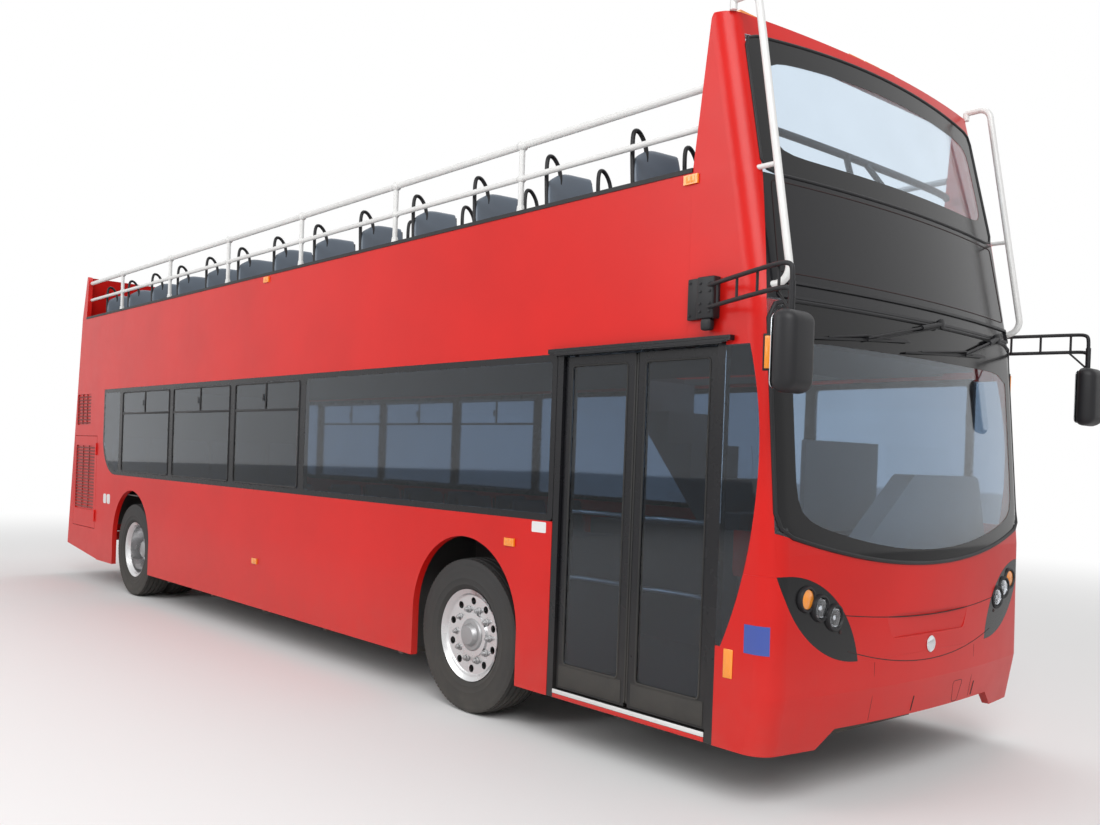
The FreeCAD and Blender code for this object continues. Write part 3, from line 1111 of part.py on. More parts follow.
def make_entrance():
    """Black door frame with its gutter, and the two leaves that fold inwards."""
    rear, front = S.door_rear_y, S.jamb_y
    low, top = S.skirt_z, S.leaf_top_z + S.door_gap + S.header_high
    outer = -HALF + S.door_frame_in
    inner = outer + S.door_frame_t
    opening_front, opening_rear = front + S.door_jamb, rear - S.door_jamb
    frame = plain_box("door_frame_slab", outer, inner, front + S.seam, rear - S.seam, low, min(top, S.band_top_z - S.seam))
    hole = plain_box("door_hole", outer - S.overrun, inner + S.overrun, opening_front, opening_rear,
                     S.floor_top_z, S.leaf_top_z + S.door_gap)
    gutter = plain_box("gutter", -HALF - S.gutter_out, -HALF - S.seam, front - S.door_jamb, rear + S.door_jamb,
                       S.band_top_z + S.seam, S.band_top_z + S.gutter_high)
    link = plain_box("gutter_root", -HALF - S.gutter_out, outer + S.lap, front + S.seam, rear - S.seam,
                     S.band_top_z - S.gutter_high / 2, S.band_top_z - S.seam)
    bridge = plain_box("gutter_bridge", -HALF - S.gutter_out, -HALF - S.seam, front + S.seam, rear - S.seam,
                       S.band_top_z - S.gutter_high / 2, S.band_top_z + S.gutter_high / 2)
    piece(join("door_frame", cut("door_frame_open", frame, hole), gutter, link, bridge), "door_frame")
    for tag, hinge_y, direction in (("front", opening_front + S.door_gap, 1), ("rear", opening_rear - S.door_gap, -1)):
        y0, y1 = sorted((hinge_y, hinge_y + direction * S.leaf_w))
        x = f"-body_width/2 + leaf_inset"
        holes = rounded([(y0 + S.leaf_stile, S.leaf_low_z + S.leaf_kick, S.pane_corner_r),
                         (y1 - S.leaf_stile, S.leaf_low_z + S.leaf_kick, S.pane_corner_r),
                         (y1 - S.leaf_stile, S.leaf_top_z - S.leaf_head, S.pane_corner_r),
                         (y0 + S.leaf_stile, S.leaf_top_z - S.leaf_head, S.pane_corner_r)])
        edge = rounded([(y0, S.leaf_low_z), (y1, S.leaf_low_z), (y1, S.leaf_top_z), (y0, S.leaf_top_z)])
        slab = padded(f"leaf_slab_{tag}", "YZ_Plane", x, "leaf_t", [edge, holes])
        leaf_inner = -HALF + S.leaf_inset + S.leaf_t
        shaft_x, shaft_y = leaf_inner + S.shaft_gap, hinge_y + direction * (S.shaft_d / 2 - S.door_gap / 2)
        g = S.running_gap
        carriers = [shaped(f"shaft_{tag}", Part.makeCylinder(
            S.shaft_d / 2, S.deck_z - S.floor_top_z - 2 * g, Vector(shaft_x, shaft_y, S.floor_top_z + g)))]
        for arm_z in (S.shaft_arm_low_z, S.shaft_arm_high_z):
            a, b = sorted((shaft_y - direction * S.door_gap / 2, shaft_y + direction * S.shaft_d / 2))
            carriers.append(plain_box(f"shaft_arm_{tag}_{arm_z:.0f}", leaf_inner - S.lap, shaft_x, a, b,
                                      arm_z, arm_z + S.shaft_arm_high))
        piece(join(f"door_leaf_{tag}", slab, *carriers), f"door_leaf_{tag}")
        g = S.seam
        pane = rounded([(y0 + S.leaf_stile + g, S.leaf_low_z + S.leaf_kick + g, S.pane_corner_r),
                        (y1 - S.leaf_stile - g, S.leaf_low_z + S.leaf_kick + g, S.pane_corner_r),
                        (y1 - S.leaf_stile - g, S.leaf_top_z - S.leaf_head - g, S.pane_corner_r),
                        (y0 + S.leaf_stile + g, S.leaf_top_z - S.leaf_head - g, S.pane_corner_r)])
        start = -HALF + S.leaf_inset + S.leaf_pane_in
        piece(prism_along_x(f"door_glass_{tag}", pane, start, start + S.leaf_pane_t), f"door_glass_{tag}")


# Fittings outside

def pillar_y(z):
    """Rear edge of the front corner pillar at a height."""
    share = (z - S.panel_top_z) / (S.hoop_top_z - S.panel_top_z)
    return S.pillar_foot_y + (S.pillar_head_y - S.pillar_foot_y) * share


def make_rails():
    """White hand rails along both sides of the open deck, on posts."""
    tubes = []
    for s, sign in SIDES.items():
        x = sign * S.rail_x
        shapes = []
        for z, d in ((S.rail_top_z, S.rail_tube_d), (S.rail_mid_z, S.mid_tube_d)):
            start = pillar_y(z - d) + S.running_gap
            shapes.append(tube_shape([Vector(x, start, z), Vector(x, S.tail_return_y - S.running_gap, z)], d))
        for i in range(int(S.post_count)):
            y = S.post_first_y + i * S.post_pitch
            shapes.append(tube_shape([Vector(x, y, S.panel_top_z + S.running_gap), Vector(x, y, S.rail_top_z)], S.post_d))
        tubes.append(shaped(f"rail_set_{s}", shapes[0].fuse(shapes[1:])))
    piece(shaped_compound("deck_rails", tubes), "deck_rails")


def make_guards():
    """Bent white tubes that push branches away from the front corners."""
    bars = []
    for s, sign in SIDES.items():
        x = sign * S.bar_x
        foot_y, head_y = nose_face_y(S.bar_low_z), nose_face_y(S.hoop_top_z)
        top_z = S.hoop_top_z + S.bar_top_rise
        root_z = S.hoop_top_z + S.running_gap
        root_y = (S.pillar_head_y + head_y) / 2
        face = S.nose_corner_r
        points = [Vector(x, foot_y + face, S.bar_low_z), Vector(x, foot_y - S.bar_out, S.bar_low_z),
                  Vector(x, head_y - S.bar_head_out, top_z), Vector(x, root_y, top_z), Vector(x, root_y, root_z)]
        bar = tube_shape(points[:-1], S.bar_d, S.bar_bend_r)
        drop = Part.makeCylinder(S.bar_d / 2, top_z - root_z, Vector(x, root_y, root_z))
        stay_y = nose_face_y(S.bar_stay_z)
        share = (S.bar_stay_z - S.bar_low_z) / (top_z - S.bar_low_z)
        bar_y = points[1].y + (points[2].y - points[1].y) * share
        stay = Part.makeCylinder(S.bar_d / 3, stay_y + face - bar_y, Vector(x, bar_y, S.bar_stay_z), Vector(0, 1, 0))
        whole = bar.fuse([drop, stay])
        bars.append(shaped(f"guard_raw_{s}", whole))
    cutter = nose_solid("guard_cutter", -S.running_gap)
    trimmed = cut("guards_trimmed", shaped_compound("guards", bars), cutter)
    piece(trimmed, "branch_guards")


ladder_shares = (0.25, 0.5, 0.75)


def make_mirrors():
    """Mirror heads hung ahead of the front corners on ladder arms from side brackets."""
    shapes = []
    for sign in SIDES.values():
        half_w, half_t = S.mirror_w / 2, S.mirror_deep / 2
        low, r = S.mirror_top_z - S.mirror_high, S.mirror_r
        outline = rounded([(-half_w, low, r), (half_w, low, r), (half_w, S.mirror_top_z, r), (-half_w, S.mirror_top_z, r)])
        face = Part.Face(wire_of(outline))
        face.Placement = Placement(Vector(sign * S.mirror_x, S.mirror_y - half_t, 0), FRONT_VIEW.Rotation)
        head = face.extrude(Vector(0, S.mirror_deep, 0))
        box_x = HALF + S.running_gap
        a, b = sign * box_x, sign * (box_x + S.arm_box_t)
        box = Part.makeBox(S.arm_box_t, S.arm_box_w, S.arm_box_high,
                           Vector(min(a, b), S.arm_box_y - S.arm_box_w / 2, S.arm_box_z - S.arm_box_high / 2))
        root = Vector(sign * (box_x + S.arm_box_t / 2), S.arm_box_y, S.arm_box_z - S.arm_rail_gap / 2)
        tip = Vector(sign * S.mirror_x, S.mirror_y, root.z + S.arm_rise)
        lift = Vector(0, 0, S.arm_rail_gap)
        parts = [box, tube_shape([root, tip], S.arm_d), tube_shape([root + lift, tip + lift], S.arm_d)]
        for share in ladder_shares:
            parts.append(Part.makeCylinder(S.rung_d / 2, lift.z, root + (tip - root) * share))
        stem_foot = S.mirror_top_z - S.arm_d
        parts.append(Part.makeCylinder(S.stem_d / 2, tip.z + lift.z + S.arm_d - stem_foot, Vector(tip.x, tip.y, stem_foot)))
        shapes.append(head.fuse(parts))
    piece(shaped("mirrors", Part.makeCompound(shapes)), "mirrors")


def make_wipers():
    """Wiper arms and blades parked level across the head of the lower windscreen."""
    parts = []
    y = nose_face_y(S.wiper_root_z) - S.wiper_y_gap
    thick = Vector(0, S.wiper_d, 0)
    for s, root_x, tip_x, blade_x, blade_half in (
            ("kerb", S.kerb_root_x, S.kerb_tip_x, S.kerb_blade_x, S.kerb_blade_half),
            ("driver", S.driver_root_x, S.driver_tip_x, S.driver_blade_x, S.driver_blade_half)):
        root, tip = Vector(root_x, y, S.wiper_root_z), Vector(tip_x, y, S.wiper_tip_z)
        arm = tube_shape([root, tip], S.wiper_d)
        boss = Part.makeCylinder(S.wiper_boss_r, S.wiper_y_gap + S.nose_corner_r, root - thick, Vector(0, 1, 0))
        mid_z = (S.blade_low_z + S.blade_high_z) / 2
        slope = (S.blade_high_z - S.blade_low_z) / 2
        centre = Vector(blade_x, y, mid_z)
        reach = Vector(blade_half, 0, slope)
        blade = tube_shape([centre - reach, centre + reach], S.wiper_d)
        link = tube_shape([tip, Vector(tip_x, y, mid_z + slope * (tip_x - blade_x) / blade_half)], S.wiper_d)
        parts.append(shaped(f"wiper_{s}", arm.fuse([boss, blade, link])))
    cutter = nose_solid("wiper_cutter", -S.running_gap)
    piece(cut("wipers", shaped_compound("wiper_raw", parts), cutter), "wipers")


def make_lamps():
    """Amber marker lamps on the hoop and along the sides, and the round lamps at the tail."""
    markers = []
    for i, share in enumerate((-0.9, -0.14, 0, 0.14, 0.9)):
        x = share * (HALF - S.hoop_narrowing) * 0.93
        y = nose_face_y(S.hoop_top_z) + S.marker_w / 2 + S.nose_bow_r - math.sqrt(S.nose_bow_r ** 2 - x ** 2)
        markers.append(plain_box(f"hoop_marker_{i}", x - S.marker_w / 2, x + S.marker_w / 2, y - S.marker_t, y + S.marker_t,
                                 S.hoop_top_z + S.running_gap, S.hoop_top_z + S.marker_high))
    for s, sign in SIDES.items():
        for i, (y, z) in enumerate(((S.marker_a_y, S.marker_high_z), (S.marker_b_y, S.marker_high_z),
                                    (S.marker_c_y, S.marker_low_z), (S.marker_d_y, S.marker_arch_z))):
            a, b = sign * (HALF + S.running_gap), sign * (HALF + S.side_marker_t)
            markers.append(plain_box(f"side_marker_{s}_{i}", min(a, b), max(a, b), y - S.side_marker_w / 2,
                                     y + S.side_marker_w / 2, z - S.side_marker_high / 2, z + S.side_marker_high / 2))
    piece(shaped_compound("marker_lamps", markers), "marker_lamps")
    lamps = []
    for s, sign in SIDES.items():
        for i in range(4):
            z = S.tail_lamp_z + i * S.tail_lamp_pitch
            lamps.append(shaped(f"tail_lamp_{s}_{i}", Part.makeCylinder(
                S.tail_lamp_r, S.tail_lamp_t + 4 * S.tail_corner_r, Vector(sign * S.tail_lamp_x, S.tail_y - 3 * S.tail_corner_r, z), Vector(0, 1, 0))))
    raw = shaped_compound("tail_lamp_raw", lamps)
    far = cut("tail_lamps_near", raw, tail_solid("tail_lamp_cutter", -S.running_gap))
    piece(common("tail_lamps", far, tail_solid("tail_lamp_limit", -S.tail_lamp_t)), "tail_lamps")


# Seats and the driver's place

def seat_shape(width, floor_z, back_high):
    """Bus seat: raked back and cushion in one shell, on a pedestal. Its back's foot is at y = 0, facing -Y."""
    foot = floor_z + S.seat_cushion_z
    top = floor_z + back_high
    t, ct = S.seat_back_t, S.seat_cushion_t
    outline = rounded([
        (-S.seat_deep, foot, S.seat_front_r), (-S.seat_deep, foot - ct, S.seat_under_r), (0, foot - ct, S.seat_bend_r),
        (S.seat_rake, top, S.seat_top_r), (S.seat_rake - t, top, S.seat_top_r), (-t, foot, S.seat_bend_r)])
    face = Part.Face(wire_of(outline))
    face.Placement = Placement(Vector(-width / 2, 0, 0), SIDE_VIEW.Rotation)
    shell = face.extrude(Vector(width, 0, 0))
    leg = Part.makeBox(S.leg_w, S.leg_deep, foot - ct - floor_z + S.lap - S.running_gap,
                       Vector(-S.leg_w / 2, -S.seat_deep / 2 - S.leg_deep / 2, floor_z + S.running_gap))
    return shell.fuse(leg)


def grab_loop(foot):
    """Looped grab handle that stands on a seat's back."""
    w, h, t = S.loop_w / 2, S.loop_high, S.loop_t
    outer = [(-w, 0), (-w, h * 0.6), (-w * 0.6, h), (w * 0.6, h), (w, h * 0.6), (w, 0)]
    inner = [(w - t, 0), (w - t, h * 0.5), (w * 0.5, h - t), (-w * 0.5, h - t), (-w + t, h * 0.5), (-w + t, 0)]
    face = Part.Face(wire_of(rounded(outer + inner)))
    face.Placement = Placement(foot - Vector(0, t / 2, 0), FRONT_VIEW.Rotation)
    return face.extrude(Vector(0, t, 0))


def make_seats():
    x = HALF - S.wall - S.seat_side_gap - S.seat_w / 2
    upper, loops = [], []
    deck = S.deck_z + S.deck_t
    loop_y = S.seat_rake - S.seat_back_t / 2
    loop_z = deck + S.deck_back_high + S.running_gap
    for i in range(int(S.upper_seat_count)):
        y = S.upper_seat_first_y + i * S.upper_seat_pitch
        for sign in SIDES.values():
            over_hole = S.stair_foot_y < y < stair_top_y() + S.seat_deep + S.upper_seat_pitch / 2
            if sign == LEFT and over_hole and i:
                continue
            seat = seat_shape(S.seat_w, deck, S.deck_back_high)
            seat.translate(Vector(sign * x, y, 0))
            upper.append(seat)
            for window_x in (S.seat_w / 2, 0):
                loops.append(grab_loop(Vector(sign * (x + window_x - S.loop_w / 2), y + loop_y, loop_z)))
    piece(shaped("upper_seats", Part.makeCompound(upper)), "upper_seats")
    piece(shaped("seat_handles", Part.makeCompound(loops)), "seat_handles")
    lower = []
    for i in range(int(S.lower_seat_count)):
        y = S.lower_seat_first_y + i * S.lower_seat_pitch
        for sign in SIDES.values():
            seat = seat_shape(S.seat_w, S.floor_top_z, S.seat_back_high)
            seat.translate(Vector(sign * x, y, 0))
            lower.append(seat)
    bench = seat_shape(S.body_width - 2 * S.wall - 2 * S.seat_side_gap, S.rear_floor_z, S.seat_back_high)
    bench.translate(Vector(0, S.bulkhead_y - S.floor_t - S.seat_rake - 2 * S.lap, 0))
    lower.append(bench)
    piece(shaped("lower_seats", Part.makeCompound(lower)), "lower_seats")


def make_cab():
    """Driver's seat, fascia, steering wheel on its column, and the wall behind the driver."""
    seat = seat_shape(S.driver_seat_w, S.floor_top_z, S.seat_back_high)
    seat.translate(Vector(S.driver_x, S.driver_back_y - S.seat_rake, 0))
    piece(shaped("driver_seat", seat), "driver_seat")

    back_y = S.jamb_y
    half = HALF - S.wall - S.nose_corner_r
    front = S.nose_y + S.waist_back + S.wall + S.nose_corner_r
    low = S.floor_top_z + S.running_gap
    fascia = Part.makeBox(2 * half, back_y - front, S.dash_top_z - low, Vector(-half, front, low))
    far = half - S.hood_far_in
    hood_edges = rounded([(S.hood_foot_x, S.dash_top_z - S.lap), (far, S.dash_top_z - S.lap),
                          (far - S.hood_far_slope, S.dash_hood_z, S.hood_round_r),
                          (S.hood_head_x, S.dash_hood_z, S.hood_round_r)])
    face = Part.Face(wire_of(hood_edges))
    face.Placement = Placement(Vector(0, front + S.hood_front_gap, 0), FRONT_VIEW.Rotation)
    hood = face.extrude(Vector(0, back_y - front - 2 * S.hood_front_gap, 0))
    column_foot = Vector(S.driver_x, back_y - S.column_back, S.dash_top_z - S.column_down)
    centre = Vector(S.driver_x, S.wheel_y, S.wheel_z)
    lean = (centre - column_foot).normalize()
    column = Part.makeCylinder(S.column_d / 2, (centre - column_foot).Length, column_foot, lean)
    dash = fascia.fuse([hood])
    piece(shaped("dashboard", dash), "dashboard")
    rim = Part.makeTorus(S.wheel_rim_r, S.wheel_rim_d / 2, centre, lean)
    side_way = lean.cross(Vector(1, 0, 0)).normalize()
    spokes = [tube_shape([centre - d * S.wheel_rim_r, centre + d * S.wheel_rim_r], S.wheel_rim_d * 0.8)
              for d in (Vector(1, 0, 0), side_way)]
    piece(shaped("steering_wheel", rim.fuse(spokes + [column]).cut(dash)), "steering_wheel")
    wall_x0 = S.driver_x - S.driver_seat_w / 2 - S.overrun
    piece(plain_box("cab_wall", wall_x0, HALF - S.wall - S.running_gap - S.frame_t, S.cab_wall_y, S.cab_wall_y + S.cab_wall_t,
                    low, low + S.cab_wall_high), "cab_wall")


make_bumper()
make_front_panel()
make_headlamps()
make_screens()
make_surround()
make_side_lower()
make_window_band()
make_side_upper()
make_tail()
make_frame()
make_lower_floor()
make_upper_deck()
make_stairs()
make_engine()
make_front_axle()
make_knuckles()
make_rear_axle()
make_wheels()
make_entrance()
make_rails()
make_guards()
make_mirrors()
make_wipers()
make_lamps()
make_seats()
make_cab()
doc.recompute()

shaft_y = S.jamb_y + S.door_jamb + S.door_gap + S.shaft_d / 2 - S.door_gap / 2
hatch_line = hatch_hinge_axis()
for name, point in (("front leaf shaft", (-HALF + S.leaf_inset + S.leaf_t + S.shaft_gap, shaft_y, 0)),
                    ("rear leaf shaft", (-HALF + S.leaf_inset + S.leaf_t + S.shaft_gap,
                                         S.door_rear_y - (shaft_y - S.jamb_y), 0)),
                    ("service hinge", (-HALF - S.hinge_d / 2 - S.running_gap, S.service_front_y - S.door_gap / 2, 0)),
                    ("hatch hinge", tuple(hatch_line))):
    print(name, [round(c, 3) for c in point])

# Every object has to be sound before anything is written
for obj in doc.Objects:
    if {"Invalid", "Error"} & set(obj.State):
        raise RuntimeError(f"{obj.Name} failed: {obj.State}")
os.makedirs("parts", exist_ok=True)
for obj in kept:
    shape = obj.Shape
    if shape.isNull() or not shape.isValid() or not shape.Solids:
        raise RuntimeError(f"{obj.Label} isn't a sound solid")
for obj in kept:
    obj.Shape.exportStep(f"parts/{obj.Label}.step")
    print(obj.Label, len(obj.Shape.Solids), round(obj.Shape.Volume / 1e9, 5))
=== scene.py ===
import bpy
from math import cos, pi, radians, sin, sqrt
from mathutils import Matrix, Vector


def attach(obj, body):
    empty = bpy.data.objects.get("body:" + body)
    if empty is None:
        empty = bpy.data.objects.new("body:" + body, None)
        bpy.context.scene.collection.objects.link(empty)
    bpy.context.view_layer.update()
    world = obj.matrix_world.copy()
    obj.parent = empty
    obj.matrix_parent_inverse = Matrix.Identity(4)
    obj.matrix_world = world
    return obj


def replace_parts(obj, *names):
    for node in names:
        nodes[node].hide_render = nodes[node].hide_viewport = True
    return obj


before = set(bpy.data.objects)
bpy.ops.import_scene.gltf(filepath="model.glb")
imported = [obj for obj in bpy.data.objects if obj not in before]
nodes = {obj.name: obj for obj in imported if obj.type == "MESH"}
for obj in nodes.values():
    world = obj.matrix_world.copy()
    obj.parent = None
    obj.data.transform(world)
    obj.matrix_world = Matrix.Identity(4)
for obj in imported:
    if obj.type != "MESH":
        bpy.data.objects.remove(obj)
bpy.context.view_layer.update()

# Studio: a pale floor under a white sky and three soft lamps, round a bus that is nearly eleven metres
# long. The camera stands at the kerb, ahead of the entrance, at eye height.
bpy.ops.object.camera_add(location=(-5.327, -8.007, 1.667))
camera = bpy.context.object
right = Vector((0.772982, -0.633419, 0.035771))
up = Vector((-0.023605, 0.02763, 0.999339))
ahead = Vector((0.633989, 0.773316, -0.006405))
camera.rotation_euler = Matrix((right, up, -ahead)).transposed().to_euler()
camera.data.sensor_width = 36
camera.data.lens = 33.827
camera.data.shift_x = 0.0480
camera.data.shift_y = 0.0448
camera.data.clip_end = 200
bpy.context.scene.camera = camera
bpy.context.scene.view_settings.view_transform = "Standard"


def add_node(tree, kind, inputs=None, **settings):
    """A shader node with its settings, and then the values of its inputs."""
    made = tree.nodes.new("ShaderNode" + kind)
    for key, value in settings.items():
        setattr(made, key, value)
    for socket, value in (inputs or {}).items():
        made.inputs[socket].default_value = value
    return made


def shader_tree(name):
    """A new node material, with its tree and its shader."""
    material = bpy.data.materials.new(name)
    material.use_nodes = True
    return material, material.node_tree, material.node_tree.nodes["Principled BSDF"]


world = bpy.data.worlds.new("studio")
world.use_nodes = True
bpy.context.scene.world = world
tree = world.node_tree
wire = tree.links.new
sky, rays = tree.nodes["Background"], add_node(tree, "LightPath")
seen, seen_more = add_node(tree, "Math", operation="MAXIMUM"), add_node(tree, "Math", operation="MAXIMUM")
level = add_node(tree, "MapRange", {"To Min": 0.42, "To Max": 1.0})
wire(rays.outputs["Is Camera Ray"], seen.inputs[0])
wire(rays.outputs["Is Transmission Ray"], seen.inputs[1])
wire(seen.outputs[0], seen_more.inputs[0])
wire(rays.outputs["Is Glossy Ray"], seen_more.inputs[1])
wire(seen_more.outputs[0], level.inputs["Value"])
wire(level.outputs["Result"], sky.inputs["Strength"])
sky.inputs["Color"].default_value = (1, 1, 1, 1)

for place, turn, size, power in (((-9, -13, 11), (radians(48), 0, radians(-35)), 9, 1500),
                                 ((-15, 3, 9), (radians(60), 0, radians(-100)), 9, 900),
                                 ((6, 2, 16), (radians(18), 0, radians(90)), 12, 1000)):
    bpy.ops.object.light_add(type="AREA", location=place, rotation=turn)
    bpy.context.object.data.size = size
    bpy.context.object.data.energy = power

bpy.ops.mesh.primitive_plane_add(size=160, location=(0, 0, 0))
floor = bpy.context.object
floor.name = "floor"
pale, tree, shader = shader_tree("pale_floor")
wire = tree.links.new
speckle = add_node(tree, "TexNoise", {"Scale": 1.4})
tone = add_node(tree, "MapRange", {"To Min": 0.78, "To Max": 0.84})
wire(speckle.outputs["Fac"], tone.inputs["Value"])
wire(tone.outputs["Result"], shader.inputs["Base Color"])
shader.inputs["Roughness"].default_value = 0.8
place, reach = add_node(tree, "TexCoord"), add_node(tree, "VectorMath", operation="LENGTH")
fade = add_node(tree, "MapRange", {"From Min": 6.5, "From Max": 17.0}, interpolation_type="SMOOTHSTEP")
rays, share = add_node(tree, "LightPath"), add_node(tree, "Math", operation="MULTIPLY")
glow, blend = add_node(tree, "Emission"), add_node(tree, "MixShader")
wire(place.outputs["Object"], reach.inputs[0])
wire(reach.outputs["Value"], fade.inputs["Value"])
wire(fade.outputs["Result"], share.inputs[0])
wire(rays.outputs["Is Camera Ray"], share.inputs[1])
wire(share.outputs[0], blend.inputs["Fac"])
wire(shader.outputs[0], blend.inputs[1])
wire(glow.outputs[0], blend.inputs[2])
wire(blend.outputs[0], tree.nodes["Material Output"].inputs["Surface"])
floor.data.materials.append(pale)


# Body panels: red coach paint over moulded and pressed panels, with a little dust on the skirts and
# a faint orange peel. The panels are bonded, so only thin seams show between them.
def grime_group():
    """Dust low on the body, cloudy tone and a fine grain, shared by every finish of the bus."""
    group = bpy.data.node_groups.new("coach_grime", "ShaderNodeTree")
    for name, kind, value in (("Colour", "NodeSocketColor", (0.5, 0.5, 0.5, 1)),
                              ("Dust Colour", "NodeSocketColor", (0.3, 0.27, 0.23, 1)),
                              ("Dust", "NodeSocketFloat", 0.3), ("Dust Height", "NodeSocketFloat", 1.0),
                              ("Grain Scale", "NodeSocketFloat", 200.0), ("Cloud", "NodeSocketFloat", 0.1),
                              ("Roughness", "NodeSocketFloat", 0.4), ("Spread", "NodeSocketFloat", 0.1)):
        socket = group.interface.new_socket(name, in_out="INPUT", socket_type=kind)
        socket.default_value = value
    for name, kind in (("Colour", "NodeSocketColor"), ("Roughness", "NodeSocketFloat"), ("Height", "NodeSocketFloat")):
        group.interface.new_socket(name, in_out="OUTPUT", socket_type=kind)
    make, link = group.nodes.new, group.links.new
    given, out, coords = make("NodeGroupInput"), make("NodeGroupOutput"), add_node(group, "TexCoord")
    split, grain = add_node(group, "SeparateXYZ"), add_node(group, "TexNoise")
    cloud = add_node(group, "TexNoise", {"Scale": 1.3, "Detail": 4})
    patch = add_node(group, "TexNoise", {"Scale": 7.0, "Detail": 8})
    link(coords.outputs["Object"], split.inputs[0])
    link(given.outputs["Grain Scale"], grain.inputs["Scale"])
    for texture in (grain, cloud, patch):
        link(coords.outputs["Object"], texture.inputs["Vector"])
    low = add_node(group, "Math", operation="DIVIDE")
    link(split.outputs["Z"], low.inputs[0])
    link(given.outputs["Dust Height"], low.inputs[1])
    fade = add_node(group, "MapRange", {"From Min": 1.0, "From Max": 0.0})
    link(low.outputs[0], fade.inputs["Value"])
    amount, speck = add_node(group, "Math", operation="MULTIPLY"), add_node(group, "Math", operation="MULTIPLY")
    link(fade.outputs["Result"], amount.inputs[0])
    link(given.outputs["Dust"], amount.inputs[1])
    link(amount.outputs[0], speck.inputs[0])
    link(patch.outputs["Fac"], speck.inputs[1])
    shade = add_node(group, "MapRange", {"From Min": 0.3, "From Max": 0.7})
    less = add_node(group, "Math", {0: 1.0}, operation="SUBTRACT")
    link(given.outputs["Cloud"], less.inputs[1])
    link(cloud.outputs["Fac"], shade.inputs["Value"])
    link(less.outputs[0], shade.inputs["To Min"])
    tinted = add_node(group, "Mix", {"Factor": 1.0}, data_type="RGBA", blend_type="MULTIPLY")
    dusted = add_node(group, "Mix", data_type="RGBA")
    link(given.outputs["Colour"], tinted.inputs["A"])
    link(shade.outputs["Result"], tinted.inputs["B"])
    link(speck.outputs[0], dusted.inputs["Factor"])
    link(tinted.outputs["Result"], dusted.inputs["A"])
    link(given.outputs["Dust Colour"], dusted.inputs["B"])
    link(dusted.outputs["Result"], out.inputs["Colour"])
    vary, rough = add_node(group, "Math", operation="MULTIPLY_ADD"), add_node(group, "Math", operation="ADD")
    link(patch.outputs["Fac"], vary.inputs[0])
    link(given.outputs["Spread"], vary.inputs[1])
    link(given.outputs["Roughness"], vary.inputs[2])
    link(vary.outputs[0], rough.inputs[0])
    link(speck.outputs[0], rough.inputs[1])
    link(rough.outputs[0], out.inputs["Roughness"])
    link(grain.outputs["Fac"], out.inputs["Height"])
    return group


coach_grime = grime_group()


def finish(name, colour, rough, dust=0.3, dust_high=1.0, grain=200.0, bump=0.05, cloud=0.1, spread=0.1,
           metal=0.0, coat=0.0, gloss=0.5, dust_colour=(0.3, 0.27, 0.23)):
    """A material with the bus's grime in its colour, gloss and grain."""
    material, tree, shader = shader_tree(name)
    grime = add_node(tree, "Group", node_tree=coach_grime)
    for socket, value in (("Colour", (*colour, 1)), ("Dust Colour", (*dust_colour, 1)), ("Dust", dust),
                          ("Dust Height", dust_high), ("Grain Scale", grain), ("Cloud", cloud),
                          ("Roughness", rough), ("Spread", spread)):
        grime.inputs[socket].default_value = value
    tree.links.new(grime.outputs["Colour"], shader.inputs["Base Color"])
    tree.links.new(grime.outputs["Roughness"], shader.inputs["Roughness"])
    relief = add_node(tree, "Bump", {"Strength": bump, "Distance": 0.002})
    tree.links.new(grime.outputs["Height"], relief.inputs["Height"])
    tree.links.new(relief.outputs["Normal"], shader.inputs["Normal"])
    for socket, value in (("Metallic", metal), ("Coat Weight", coat), ("Specular IOR Level", gloss)):
        shader.inputs[socket].default_value = value
    return material


def dress(material, *names):
    """Gives nodes of the frame their finish."""
    for name in names:
        node = nodes[name]
        node.data.materials.clear()
        node.data.materials.append(material)


red = finish("red_coach_paint", (0.62, 0.010, 0.007), 0.26, dust=0.22, dust_high=0.9, grain=60, bump=0.02,
             cloud=0.12, gloss=0.28)
dress(red, "front_bumper", "front_panel", "front_surround", "side_lower_right", "side_lower_left",
      "side_upper_right", "side_upper_left", "tail_lower", "tail_upper", "engine_door", "service_door_right",
      "service_door_left")
black = finish("black_trim", (0.014, 0.014, 0.016), 0.38, dust=0.2, grain=500, bump=0.08, cloud=0.2, spread=0.15,
               gloss=0.3)
dress(black, "side_caps", "seat_handles", "steering_wheel")


def start():
    """Nothing stays selected, so that an operator acts on the new piece alone."""
    if bpy.context.object and bpy.context.object.mode != "OBJECT":
        bpy.ops.object.mode_set(mode="OBJECT")
    bpy.ops.object.select_all(action="DESELECT")


def settle(name, body, material, smooth=32):
    """Puts a finished piece's place into its mesh, and gives it its finish and its body."""
    piece = bpy.context.object
    piece.name = piece.data.name = name
    bpy.ops.object.transform_apply(location=True, rotation=True, scale=True)
    piece.data.materials.clear()
    piece.data.materials.append(material)
    bpy.ops.object.shade_smooth_by_angle(angle=radians(smooth))
    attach(piece, body)
    return piece


def modify(kind, **values):
    """Adds a modifier to the active piece and applies it."""
    modifier = bpy.context.object.modifiers.new(kind.lower(), kind)
    for key, value in values.items():
        setattr(modifier, key, value)
    bpy.ops.object.modifier_apply(modifier=modifier.name)


def slab(low, high, edge=0.0, segments=2):
    """A block between two corners, with its edges eased."""
    start()
    middle = [(a + b) / 2 for a, b in zip(low, high)]
    bpy.ops.mesh.primitive_cube_add(size=1, location=middle, scale=[abs(b - a) for a, b in zip(low, high)])
    bpy.ops.object.transform_apply(location=True, rotation=True, scale=True)
    if edge:
        modify("BEVEL", width=edge, segments=segments)
    return bpy.context.object


